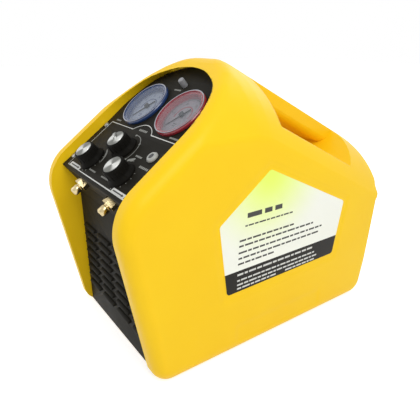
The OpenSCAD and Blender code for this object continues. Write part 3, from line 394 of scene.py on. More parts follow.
    # Dense bright and dark lines of thin edges.
    FINS = FinFinish("aluminium_fin_stack", "#B5B8BA", "#A7ABAE", 0.4, 0.08, metallic=1.0, relief_mm=0.5)
    # Dark blue grey paint with a sprayed grain.
    MOTOR = Finish("sprayed_motor_enamel", "#3A3D42", "#34373B", 0.4, 0.06, grain_mm=0.8, relief_mm=0.05)
    # Dark matt plastic with a slight mottle from its fibres.
    FAN = Finish("moulded_glass_filled_nylon", "#2B2C2E", "#323335", 0.5, 0.06, grain_mm=0.5, relief_mm=0.03)
    # Dull black that swallows light.
    RUBBER = Finish("moulded_black_rubber", "#181818", "#202020", 0.75, 0.06, grain_mm=0.6, relief_mm=0.05)
    # Cold grey sheet with the large cloudy grains of its coating.
    TRAY = Finish("galvanised_steel_tray", "#A6A9AB", "#8E9295", 0.42, 0.1, metallic=1.0, grain_mm=9.0,
                  relief_mm=0.01)
    # Smooth bright can with long soft reflections.
    CAN = Finish("drawn_aluminium_can", "#C2C4C6", "#B7BABC", 0.3, 0.06, metallic=1.0, grain_mm=1.5,
                 relief_mm=0.01)

    @property
    def material(self) -> bpy.types.Material:
        """The material of this surface."""
        return self.value.build()


# ------------------------------------------------------------------ places and mesh helpers

@dataclass(frozen=True)
class Slope:
    """A flat slope of the panel, with its own X, up-slope and outward directions.

    Attributes:
        y_mm: Y of the slope's lower edge.
        z_mm: Z of the slope's lower edge.
        tilt: Rise of the slope towards the back, in degrees.
    """

    y_mm: float
    z_mm: float
    tilt: float

    def matrix(self, x: float = 0.0, s: float = 0.0, h: float = 0.0) -> Matrix:
        """Gives the transform from a local frame in millimetres on the slope to metres.

        Args:
            x: Place across the slope.
            s: Distance up the slope from its lower edge.
            h: Height out of the slope.
        """
        turn = Matrix.Rotation(math.radians(self.tilt), 4, "X")
        base = Matrix.Translation(Vector((0.0, self.y_mm, self.z_mm)))
        return Matrix.Scale(MM, 4) @ base @ turn @ Matrix.Translation(Vector((x, s, h)))

    def fit(self, x: float, s: float, radial: float, axial: float, shift: float = 0.0) -> Matrix:
        """Gives the transform that fits a round piece about its own axis out of the slope.

        Args:
            x: Place of the axis across the slope.
            s: Its distance up the slope.
            radial: Share of its width that is kept.
            axial: Share of its height that is kept.
            shift: How far it moves across the slope.
        """
        sized = Matrix.Diagonal((radial, radial, axial, 1.0))
        return self.matrix(x + shift, s) @ sized @ self.matrix(x, s).inverted()


CONTROLS = Slope(-194.310, 221.591, 35.8)
GAUGES = Slope(-118.881, 275.992, 38.8)
CONTROL_LEN = 93.0
BORDER_S = 5.0


def linked(name: str, data: bpy.types.ID) -> SceneObject:
    """Puts a mesh, curve, lamp or camera into the scene as an object."""
    thing = bpy.data.objects.new(name, data)
    bpy.context.scene.collection.objects.link(thing)
    return thing


def lathe(bm: BMesh, profile: Outline, steps: int = 64) -> None:
    """Spins a profile about the local Z axis into a closed turned shape.

    Args:
        bm: Mesh that gets the shape.
        profile: Radius and height of each corner, from the axis outwards and back.
        steps: Number of segments of the full turn.
    """
    verts = [bm.verts.new((r, 0.0, z)) for r, z in profile]
    edges = [bm.edges.new(pair) for pair in zip(verts, verts[1:])]
    bmesh.ops.spin(bm, geom=verts + edges, cent=(0, 0, 0), axis=(0, 0, 1), dvec=(0, 0, 0),
                   angle=math.tau, steps=steps, use_merge=True, use_duplicate=False)
    bmesh.ops.remove_doubles(bm, verts=bm.verts, dist=1e-4)


def plate(bm: BMesh, outline: Outline, low: float, high: float) -> None:
    """Raises a flat outline into a plate between two heights.

    Args:
        bm: Mesh that gets the plate.
        outline: Corners of the outline, in X and Y.
        low: Height of the lower face.
        high: Height of the upper face.
    """
    face = bm.faces.new([bm.verts.new((x, y, low)) for x, y in outline])
    raised = bmesh.ops.extrude_face_region(bm, geom=[face])["geom"]
    bmesh.ops.translate(bm, vec=(0, 0, high - low), verts=[v for v in raised if isinstance(v, bmesh.types.BMVert)])


def ribbon(bm: BMesh, path: Outline, widths: float | Sequence[float], low: float, high: float) -> None:
    """Draws a flat line of printed ink by pulling its end edge along a path.

    Args:
        bm: Mesh that gets the line.
        path: Points of the middle of the line.
        widths: One width, or a width at each point.
        low: Height of its underside.
        high: Height of its top.
    """
    points = [Vector((x, y)) for x, y in path]
    wide = [widths] * len(points) if isinstance(widths, (int, float)) else list(widths)
    rows = []
    for i, point in enumerate(points):
        along = points[min(i + 1, len(points) - 1)] - points[max(i - 1, 0)]
        side = Vector((-along.y, along.x)).normalized()
        before = (point - points[i - 1]).normalized() if 0 < i < len(points) - 1 else along.normalized()
        stretch = 1 / max(0.5, abs(before.dot(along.normalized())))
        rows.append((point + side * wide[i] / 2 * stretch, point - side * wide[i] / 2 * stretch))
    edge = bm.edges.new([bm.verts.new((*p, low)) for p in rows[0]])
    faces = []
    for left, right in rows[1:]:
        pulled = bmesh.ops.extrude_edge_only(bm, edges=[edge])["geom"]
        edge = next(g for g in pulled if isinstance(g, bmesh.types.BMEdge))
        faces += [g for g in pulled if isinstance(g, bmesh.types.BMFace)]
        edge.verts[0].co, edge.verts[1].co = Vector((*left, low)), Vector((*right, low))
    raised = bmesh.ops.extrude_face_region(bm, geom=faces)["geom"]
    bmesh.ops.translate(bm, vec=(0, 0, high - low), verts=[v for v in raised if isinstance(v, bmesh.types.BMVert)])


def arc(radius: float, start: float, end: float, steps: int = 24, centre: Point2 = (0.0, 0.0)) -> list[Point2]:
    """Gives points on an arc.

    Args:
        radius: Radius of the arc.
        start: First angle, in degrees from X towards Y.
        end: Last angle.
        steps: Number of segments.
        centre: Centre of the arc.
    """
    angles = (math.radians(start + (end - start) * i / steps) for i in range(steps + 1))
    return [(centre[0] + radius * math.cos(a), centre[1] + radius * math.sin(a)) for a in angles]


def box_outline(x: float, y: float, wide: float, tall: float, turn: float = 0.0) -> list[Point2]:
    """Gives the corners of a rectangle by its middle, sizes and turn in degrees."""
    c, s = math.cos(math.radians(turn)), math.sin(math.radians(turn))
    corners = ((-wide / 2, -tall / 2), (wide / 2, -tall / 2), (wide / 2, tall / 2), (-wide / 2, tall / 2))
    return [(x + c * u - s * v, y + s * u + c * v) for u, v in corners]


def finish_piece(name: str, bm: BMesh, surface: Surface, body: str,
                 replaces: Iterable[str] = (), sharp: float = 35.0) -> SceneObject:
    """Turns a mesh into a finished piece of the machine that rides on a body.

    Args:
        name: Name of the piece.
        bm: Its mesh in metres; it is freed.
        surface: Its finish.
        body: Body it moves with.
        replaces: CAD nodes that it stands for.
        sharp: Angle in degrees above which an edge stays crisp.

    Returns:
        The object of the piece.
    """
    bmesh.ops.recalc_face_normals(bm, faces=bm.faces)
    mesh = bpy.data.meshes.new(name)
    bm.to_mesh(mesh)
    bm.free()
    mesh.shade_smooth()
    mesh.set_sharp_from_angle(angle=math.radians(sharp))
    piece = linked(name, mesh)
    mesh.materials.append(surface.material)
    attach(piece, body)
    if replaces:
        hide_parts(*replaces)
    LOG.info("%s: %d faces on %s", name, len(mesh.polygons), body)
    return piece


def merged_copy(node: str) -> BMesh:
    """Copies a CAD node's mesh, with its loose triangles joined and flat areas made whole."""
    bm = bmesh.new()
    bm.from_mesh(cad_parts[node].data)
    bmesh.ops.remove_doubles(bm, verts=bm.verts, dist=2e-6)
    return bm


def soften(bm: BMesh, edge_mm: float, segments: int = 2) -> None:
    """Rounds the crisp edges of a mesh.

    Args:
        bm: The mesh.
        edge_mm: Width of the rounding.
        segments: Facets of the rounding.
    """
    bmesh.ops.dissolve_limit(bm, angle_limit=math.radians(0.5), use_dissolve_boundaries=False,
                             verts=bm.verts, edges=bm.edges)
    crisp = [e for e in bm.edges if len(e.link_faces) == 2 and e.calc_face_angle(0.0) > math.radians(40)]
    bmesh.ops.bevel(bm, geom=crisp, offset=edge_mm * MM, offset_type="OFFSET", segments=segments, profile=0.5,
                    affect="EDGES", clamp_overlap=True, material=-1)
    bmesh.ops.remove_doubles(bm, verts=bm.verts, dist=1e-6)


def softened_copy(node: str, surface: Surface, body: str, edge_mm: float = 0.4,
                  fit: Matrix | None = None) -> SceneObject:
    """Replaces a CAD node by a copy whose crisp edges are rounded as the real ones are.

    Args:
        node: The CAD node.
        surface: Finish of the piece.
        body: Body it moves with.
        edge_mm: Width of the rounding.
        fit: Transform that fits the copy to its seen size.
    """
    bm = merged_copy(node)
    soften(bm, edge_mm)
    if fit is not None:
        bm.transform(fit)
    return finish_piece(f"{node}_finished", bm, surface, body, replaces=(node,), sharp=32.0)


def combined(first: SceneObject, second: SceneObject, operation: str) -> SceneObject:
    """Joins, cuts or intersects two closed working objects into one.

    Args:
        first: The object that stays.
        second: The object that is added to it or cut from it.
        operation: UNION, DIFFERENCE or INTERSECT.
    """
    step = first.modifiers.new("combine", "BOOLEAN")
    step.operation = operation
    step.solver = "MANIFOLD"
    step.object = second
    bm = bmesh.new()
    bm.from_mesh(evaluated(first))
    name = first.name
    bpy.data.objects.remove(first)
    bpy.data.objects.remove(second)
    return mesh_object(name, bm)


def freed_mesh(work: SceneObject) -> BMesh:
    """Takes the mesh of a working object and removes the object."""
    bm = bmesh.new()
    bm.from_mesh(work.data)
    bpy.data.objects.remove(work)
    return bm


# ------------------------------------------------------------------ sub-assemblies

@dataclass(frozen=True)
class FrontOpening:
    """The arched front opening, with a flat crown between two tighter shoulders.

    Attributes:
        half: Half of its width.
        top: Height of its crown.
        crown_r: Radius of the crown.
        shoulder_r: Radius of the shoulders.
        wall: Thickness of the returned wall round it.
        ledge_w: Width of the ledge behind the plates.
        ledge_t: Thickness of that ledge.
        sheet_t: Thickness of the plates.
        seat: Gap round the plates.
        line: Y and Z of the front faces of the plates, from below the floor to above the hood.
        reach: Half length of the blocks that cut.
    """

    half: float = 100.0
    top: float = 345.4875
    crown_r: float = 180.0
    shoulder_r: float = 55.0
    wall: float = 4.0
    ledge_w: float = 8.0
    ledge_t: float = 3.0
    sheet_t: float = 2.0
    seat: float = 0.3
    line: tuple[Point2, ...] = ((-174.421, -8.0), (-174.421, 194.015), (-194.310, 221.591), (-118.881, 275.992),
                                (-12.891, 361.210), (-12.891, 710.0))
    reach: float = 425.0

    def arch(self, grow: float) -> SceneObject:
        """Makes a block along Y with the section of the arch.

        Args:
            grow: How far the section is grown.
        """
        span, side = self.crown_r - self.shoulder_r, self.half - self.shoulder_r
        crown_z = self.top - self.crown_r
        turn = math.degrees(math.acos(side / span))
        haunch = (side, crown_z + math.sqrt(span ** 2 - side ** 2))
        right = arc(self.shoulder_r + grow, 0.0, turn, 14, haunch)[:-1]
        right += arc(self.crown_r + grow, turn, 90.0, 14, (0.0, crown_z))
        foot = self.line[0][1]
        outline = [(-self.half - grow, foot), (self.half + grow, foot), *right]
        outline += [(-x, z) for x, z in right[-2::-1]]
        bm = bmesh.new()
        plate(bm, outline, -self.reach, self.reach)
        bm.transform(Matrix.Scale(MM, 4) @ Matrix.Rotation(math.radians(90.0), 4, "X"))
        bmesh.ops.recalc_face_normals(bm, faces=bm.faces)
        return mesh_object("arch_block", bm)

    def front(self, depth: float) -> SceneObject:
        """Makes a block across X of all that lies before the plates.

        Args:
            depth: How far the block goes past their front faces.
        """
        ways = [(Vector(b) - Vector(a)).normalized() for a, b in zip(self.line, self.line[1:])]
        sides = [Vector((way.y, -way.x)) for way in ways]
        sides = [sides[0], *sides, sides[-1]]
        moved = []
        for place, one, two in zip(self.line, sides, sides[1:]):
            shift = (one + two) / (1.0 + one.dot(two)) * depth
            moved.append((place[0] + shift.x, place[1] + shift.y))
        bm = bmesh.new()
        plate(bm, [(-self.reach, self.line[0][1]), *moved, (-self.reach, self.line[-1][1])],
              -self.reach / 2, self.reach / 2)
        bm.transform(Matrix.Scale(MM, 4) @ SIDE_ON)
        bmesh.ops.recalc_face_normals(bm, faces=bm.faces)
        return mesh_object("front_block", bm)

    def zone(self, depth: float, grow: float) -> SceneObject:
        """Makes the part of the arch block that lies before the plates."""
        return combined(self.arch(grow), self.front(depth), "INTERSECT")

    def lining(self) -> SceneObject:
        """Makes the returned wall and ledge that carry the plates."""
        return combined(self.zone(self.sheet_t + self.ledge_t, self.wall), self.arch(-self.ledge_w), "DIFFERENCE")

    def panel(self, low: float, holes: SceneObject) -> SceneObject:
        """Makes the bent sheet that closes the upper part of the opening.

        Args:
            low: Height of its lower edge.
            holes: Cutters of its holes; the object is removed.
        """
        sheet = combined(self.zone(self.sheet_t, -self.seat), self.front(0.0), "DIFFERENCE")
        sheet = combined(sheet, holes, "DIFFERENCE")
        bm = freed_mesh(sheet)
        below = bmesh.ops.bisect_plane(bm, geom=[*bm.verts, *bm.edges, *bm.faces], plane_co=(0, 0, low * MM),
                                       plane_no=(0, 0, -1), clear_outer=True)
        rim = [g for g in below["geom_cut"] if isinstance(g, bmesh.types.BMEdge)]
        bmesh.ops.edgeloop_fill(bm, edges=rim)
        bmesh.ops.recalc_face_normals(bm, faces=bm.faces)
        return mesh_object("panel_sheet", bm)


OPENING = FrontOpening()


@dataclass
class CaseShell:
    """The one-piece yellow case: the CAD solid with its facets smoothed to true roundness.

    The outside of the case is a convex core grown by the radius of its edges, so each of
    its points lies at exactly that radius from the core. A dense skin is laid there and
    cut by the CAD solid, which gives every opening, scoop, pocket and inner wall.

    Attributes:
        half_wid: Half width of the case.
        edge_r: Radius of its rounded edges.
        cad_edge_r: Radius of those edges in the CAD solid.
        roof_r: Radius of the roof arch of the case.
        discs: Y, Z and radius of the discs whose hull is the side view of the case.
        ridge: Y and Z of the points of the ridge line above the arch.
        roof_fall: Slope of the roof behind the crest, in degrees.
        crest_y: Y where that slope starts.
        cell: Size of the cells of the skin.
        slices: Number of slices across the core.
        lift: How far the outside of the CAD solid is raised to cut the skin.
        hollow: Depth of the label pocket and of the relief low on each side.
        label: Y and Z of the corners of the label.
        pocket: Distances from the label where the pocket's soft edge starts and ends.
        relief: Y and Z of two corners of the relief.
        relief_soft: Width of the relief's soft edge.
        flat_slack: How far from the half width a point still counts as on the flat side.
        skin_slack: How far inside the outside a point of the CAD solid still counts as on it.
    """

    half_wid: float = 125.0
    edge_r: float = 16.0
    cad_edge_r: float = 20.0
    roof_r: float = 135.0
    discs: tuple[tuple[float, float, float], ...] = (
        (-152.5, 191.984, 60.0), (-160.443, 24.0, 24.0), (164.9, 24.0, 24.0), (-26.99, 327.0, 28.0),
        (156.5, 201.995, 56.0))
    ridge: tuple[Point2, ...] = ((-213.5, 362.988), (-63.75, 362.988), (-42.5, 361.39), (-26.9875, 358.431),
                                 (213.5, 235.788))
    roof_fall: float = 27.0205
    crest_y: float = -26.9875
    cell: float = 3.0
    slices: int = 64
    lift: float = 3.4
    hollow: float = 0.8
    label: tuple[Point2, ...] = ((-85.0, 90.88), (103.49, 93.01), (116.45, 170.045), (-23.5, 238.915),
                                 (-96.9, 183.89))
    pocket: Point2 = (6.0, 10.0)
    relief: tuple[Point2, Point2] = ((-69.7, 8.165), (84.575, 41.89))
    relief_soft: float = 3.0
    flat_slack: float = 0.02
    skin_slack: float = 0.3

    def ridge_height(self, y: float, edge_r: float) -> float:
        """Gives the height of the core's ridge line at a place along the case."""
        lower = edge_r * (1 / math.cos(math.radians(self.roof_fall)) - 1)
        pairs = [(py, pz - (lower if py > self.crest_y - 1 else 0.0)) for py, pz in self.ridge]
        for (y0, z0), (y1, z1) in zip(pairs, pairs[1:]):
            if y <= y1:
                return z0 + (z1 - z0) * (y - y0) / (y1 - y0)
        return pairs[-1][1]

    def core(self, edge_r: float) -> BVHTree:
        """Builds the convex core as the hull of its slices, for distances to it.

        Args:
            edge_r: Radius of the edges that the core is grown by.
        """
        bm = bmesh.new()
        inner_r = self.roof_r - edge_r
        outline = self.side_points(edge_r)
        for i in range(self.slices + 1):
            x = (edge_r - self.half_wid) * math.cos(math.pi * i / self.slices)
            drop = math.sqrt(max(0.0, inner_r ** 2 - x * x)) - self.roof_r
            for y, z in outline:
                bm.verts.new((x * MM, y * MM, min(z, self.ridge_height(y, edge_r) + drop) * MM))
        bmesh.ops.convex_hull(bm, input=bm.verts)
        tree = BVHTree.FromBMesh(bm)
        bm.free()
        return tree

    def side_points(self, edge_r: float) -> list[Point2]:
        """Gives points all round the core's side view, a few millimetres apart."""
        corners = []
        for y, z, r in self.discs:
            corners += arc(r - edge_r, 0.0, 357.0, 119, (y, z))
        ring = convex_ring(corners)
        points: list[Point2] = []
        for (y0, z0), (y1, z1) in zip(ring, ring[1:] + ring[:1]):
            count = max(1, round(math.hypot(y1 - y0, z1 - z0) / 6))
            points += [(y0 + (y1 - y0) * k / count, z0 + (z1 - z0) * k / count) for k in range(count)]
        return points

    def skin(self, core: BVHTree) -> SceneObject:
        """Lays an even net of cells over the hull of the case and rounds it.

        Args:
            core: The convex core.
        """
        bm = merged_copy("case_shell")
        hull = bmesh.ops.convex_hull(bm, input=bm.verts)
        keep = {g for g in hull["geom"] if isinstance(g, bmesh.types.BMFace)}
        bmesh.ops.delete(bm, geom=[f for f in bm.faces if f not in keep], context="FACES")
        loose = [v for v in bm.verts if not v.link_faces]
        bmesh.ops.delete(bm, geom=loose, context="VERTS")
        net = mesh_object("case_net", bm)
        cells = net.modifiers.new("cells", "REMESH")
        cells.mode = "VOXEL"
        cells.voxel_size = self.cell * MM
        bm = bmesh.new()
        bm.from_mesh(evaluated(net))
        bpy.data.objects.remove(net)
        for v in bm.verts:
            near, _, _, apart = core.find_nearest(v.co)
            v.co = near + (v.co - near) / apart * self.edge_r * MM
            if abs(v.co.x) > (self.half_wid - self.flat_slack) * MM:
                deep = self.hollow_at(v.co.y / MM, v.co.z / MM, v.co.x > 0)
                v.co.x -= math.copysign(deep * MM, v.co.x)
        bmesh.ops.recalc_face_normals(bm, faces=bm.faces)
        return mesh_object("case_skin", bm)

    def hollow_at(self, y: float, z: float, right: bool) -> float:
        """Gives the depth of the soft-edged hollows of a side.

        Args:
            y: Place along the case.
            z: Height.
            right: Whether it is the side with the label.
        """
        (y0, z0), (y1, z1) = self.relief
        inside = min(y - y0, y1 - y, z - z0, z1 - z)
        deep = ease(inside / self.relief_soft)
        if right:
            start, end = self.pocket
            away = max(((zb - za) * (y - ya) - (yb - ya) * (z - za)) / math.hypot(yb - ya, zb - za)
                       for (ya, za), (yb, zb) in zip(self.label, self.label[1:] + self.label[:1]))
            deep = max(deep, ease((end - away) / (end - start)))
        return deep * self.hollow

    def cutter(self) -> SceneObject:
        """Copies the CAD solid with its outside raised clear of the skin, and gives it the seen opening."""
        core = self.core(self.cad_edge_r)
        bm = merged_copy("case_shell")
        for v in bm.verts:
            near, _, _, apart = core.find_nearest(v.co)
            if apart > (self.cad_edge_r - self.hollow - self.skin_slack) * MM:
                v.co += (v.co - near) / apart * self.lift * MM
        solid = combined(mesh_object("case_cutter", bm), OPENING.lining(), "UNION")
        return combined(solid, OPENING.zone(OPENING.sheet_t, 0.0), "DIFFERENCE")

    def build(self) -> None:
        """Makes the smooth case in place of the faceted solid."""
        bm = freed_mesh(combined(self.skin(self.core(self.edge_r)), self.cutter(), "INTERSECT"))
        LOG.info("case: %d faces, %.1f cm3", len(bm.faces), bm.calc_volume() * 1e6)
        case = finish_piece("case_moulding", bm, Surface.CASE, CHASSIS,
                            replaces=("case_shell",), sharp=28.0)
        shade = case.modifiers.new("even_shading", "WEIGHTED_NORMAL")
        shade.keep_sharp = True
        shade.weight = 80


def ease(share: float) -> float:
    """Gives a soft step from nought to one."""
    share = min(1.0, max(0.0, share))
    return share * share * (3.0 - 2.0 * share)


def mesh_object(name: str, bm: BMesh) -> SceneObject:
    """Puts a mesh into the scene as a working object.

    Args:
        name: Name of the object.
        bm: Its mesh; it is freed.
    """
    mesh = bpy.data.meshes.new(name)
    bm.to_mesh(mesh)
    bm.free()
    return linked(name, mesh)


def evaluated(work: SceneObject) -> bpy.types.Mesh:
    """Gives the mesh of an object with its modifiers applied."""
    return bpy.data.meshes.new_from_object(work.evaluated_get(bpy.context.evaluated_depsgraph_get()))


def convex_ring(points: Outline) -> list[Point2]:
    """Gives the corners of the hull of some points, in order round it.

    Args:
        points: Points in a plane.
    """
    ordered = sorted(set((round(x, 5), round(y, 5)) for x, y in points))

    def half(rows: Iterable[Point2]) -> list[Point2]:
        """Walks one side of the hull."""
        kept: list[Point2] = []
        for p in rows:
            while len(kept) > 1 and ((kept[-1][0] - kept[-2][0]) * (p[1] - kept[-2][1])
                                     - (kept[-1][1] - kept[-2][1]) * (p[0] - kept[-2][0])) <= 0:
                kept.pop()
            kept.append(p)
        return kept[:-1]

    return half(ordered) + half(reversed(ordered))


@dataclass
class ControlPanel:
    """The bent black sheet with its printed border, arcs, nibs and bars.

    Attributes:
        half: Half width of the printed border.
        upper: Distance up the slope from the lower to the upper border line.
        line: Width of a border line.
        print_t: Thickness of the ink.
        bars: Middle, width and height of each broken bar that stands for a word.
        valves: Middles of the marks round the two valve knobs.
        mode: Middle of the marks round the mode knob.
        low: Height of the lower edge of the sheet.
        holes: Place across, distance up and radius of each hole in the control slope.
        gauge_holes: The same for the gauge slope.
        neck_holes: The same for the chin, with the depth below the control slope.
    """

    half: float = 87.0
    upper: float = 82.4
    line: float = 0.95
    print_t: float = 0.12
    bars: tuple[tuple[float, float, float, float], ...] = (
        (-19.0, 9.0, 19.0, 2.0), (19.0, 9.0, 21.0, 2.0), (40.0, 51.0, 15.0, 2.4), (66.5, 41.0, 20.0, 2.8),
        (0.5, 84.5, 20.0, 3.0), (-75.0, 88.0, 13.0, 2.4), (68.0, 88.0, 18.0, 2.4), (-7.0, 155.0, 15.0, 2.4))
    valves: tuple[Point2, Point2] = ((-43.5, 21.97), (43.5, 21.97))
    mode: Point2 = (0.0, 52.381)
    low: float = 180.565
    holes: tuple[tuple[float, float, float], ...] = (
        (-43.5, 26.97, 6.7), (43.5, 26.97, 6.7), (0.0, 57.381, 6.7), (64.815, 61.659, 6.245), (-94.0, 18.6, 2.0),
        (94.0, 18.6, 2.0), (-94.0, 79.98, 2.0), (94.0, 79.98, 2.0))
    gauge_holes: tuple[tuple[float, float, float], ...] = (
        (-42.8, 33.54, 31.8), (42.8, 33.54, 31.8), (0.0, 75.6, 4.9))
    neck_holes: tuple[tuple[float, float, float], ...] = ((-43.5, -14.484, 7.793), (43.5, -14.484, 7.793))

    def sheet(self) -> None:
        """Makes the bent sheet with its holes."""
        bm = bmesh.new()
        lying = Matrix.Rotation(math.radians(90.0), 4, "X")
        places = [(CONTROLS.matrix(x, s), r) for x, s, r in self.holes]
        places += [(GAUGES.matrix(x, u), r) for x, u, r in self.gauge_holes]
        places += [(CONTROLS.matrix(x, 0.0, h) @ lying, r) for x, h, r in self.neck_holes]
        for place, r in places:
            bmesh.ops.create_cone(bm, cap_ends=True, segments=64, radius1=r, radius2=r, depth=12.0, matrix=place)
        panel = freed_mesh(OPENING.panel(self.low, mesh_object("panel_holes", bm)))
        soften(panel, 0.6)
        finish_piece("control_panel_finished", panel, Surface.PANEL, CHASSIS,
                     replaces=("control_panel",), sharp=32.0)

    def build(self) -> None:
        """Dresses the sheet and prints on it."""
        self.sheet()
        dim = bmesh.new()
        self.dial_marks(dim)
        for x, s, wide, tall in self.bars:
            self.broken_bar(dim, x, s, wide, tall)
        self.wrap(dim)
        finish_piece("panel_words", dim, Surface.INK_DIM, CHASSIS, sharp=30.0)
        white = bmesh.new()
        self.border(white)
        self.wrap(white)
        finish_piece("panel_print", white, Surface.INK, CHASSIS, sharp=30.0)
        dark = bmesh.new()
        for x in (-65.75, 65.5):
            plate(dark, box_outline(x - 2.0, 2.75, 22.0, 1.6), self.print_t, self.print_t * 1.6)
            tip = x + 13.5
            plate(dark, [(tip - 4.5, 0.9), (tip, 2.75), (tip - 4.5, 4.6)], self.print_t, self.print_t * 1.6)
        self.wrap(dark)
        finish_piece("port_arrows", dark, Surface.INK_DARK, CHASSIS, sharp=30.0)

    def wrap(self, bm: BMesh) -> None:
        """Lays a flat print on the two slopes of the sheet.

        Args:
            bm: The print in millimetres, measured from the lower border line.
        """
        for v in bm.verts:
            x, s, h = v.co.x, v.co.y + BORDER_S, v.co.z
            if s <= CONTROL_LEN:
                v.co = CONTROLS.matrix(x, s, h).translation
            else:
                v.co = GAUGES.matrix(x, s - CONTROL_LEN, h).translation

    def border(self, bm: BMesh) -> None:
        """Draws the border line with its bump, and the two filled boxes on it."""
        top = self.print_t
        bump = arc(30.5, 141.0, 39.0, 28, (0.0, self.upper - 19.2))
        ribbon(bm, [(-self.half, self.upper), *bump, (self.half, self.upper), (self.half, 0.0),
                    (-self.half, 0.0), (-self.half, self.upper)], self.line, 0.0, top)
        plate(bm, box_outline(-65.75, 2.9, 33.5, 5.8), 0.0, top)
        plate(bm, box_outline(65.5, 2.9, 31.0, 5.8), 0.0, top)

    def dial_marks(self, bm: BMesh) -> None:
        """Draws the arcs, dots and nibs round the three knobs."""
        top = self.print_t
        steps = 20
        for (x, s), first, last in ((self.valves[0], 64.0, 0.0), (self.valves[1], 120.0, 100.0)):
            path = arc(22.5, first, last, steps, (x, s))
            thick = 2.4 if x < 0 else 0.9
            widths = [0.5 + thick * math.sin(math.pi * min(1.0, (i + 1) / steps)) for i in range(steps + 1)]
            ribbon(bm, path, widths, 0.0, top)
            for k in range(6):
                a = 28.0 - 22.0 * k
                start, end = arc(18.6, a, a, 1, (x, s))[0], arc(20.4, a, a, 1, (x, s))[0]
                ribbon(bm, [start, end], 0.8, 0.0, top)
        x, s = self.mode
        ribbon(bm, arc(23.5, 99.4, -27.6, 36, (x, s)), 0.9, 0.0, top)
        for a in (99.4, 36.0, -27.6):
            plate(bm, arc(1.5, 0.0, 345.0, 23, arc(23.5, a, a, 1, (x, s))[0]), 0.0, top * 1.1)
        pill = arc(1.7, 116.6, 296.6, 10, (27.6, 41.8)) + arc(1.7, -63.4, 116.6, 10, (36.4, 46.2))
        plate(bm, pill, 0.0, top)

    def broken_bar(self, bm: BMesh, x: float, s: float, wide: float, tall: float) -> None:
        """Draws a plain bar in short blocks where a word would be.

        Args:
            bm: Mesh of the print.
            x: Middle of the bar.
            s: Its distance up the slope.
            wide: Its length.
            tall: Its height.
        """
        blocks = max(2, round(wide / (tall * 1.15)))
        step = wide / blocks
        for k in range(blocks):
            plate(bm, box_outline(x - wide / 2 + step * (k + 0.5), s, step * 0.72, tall), 0.0, self.print_t)


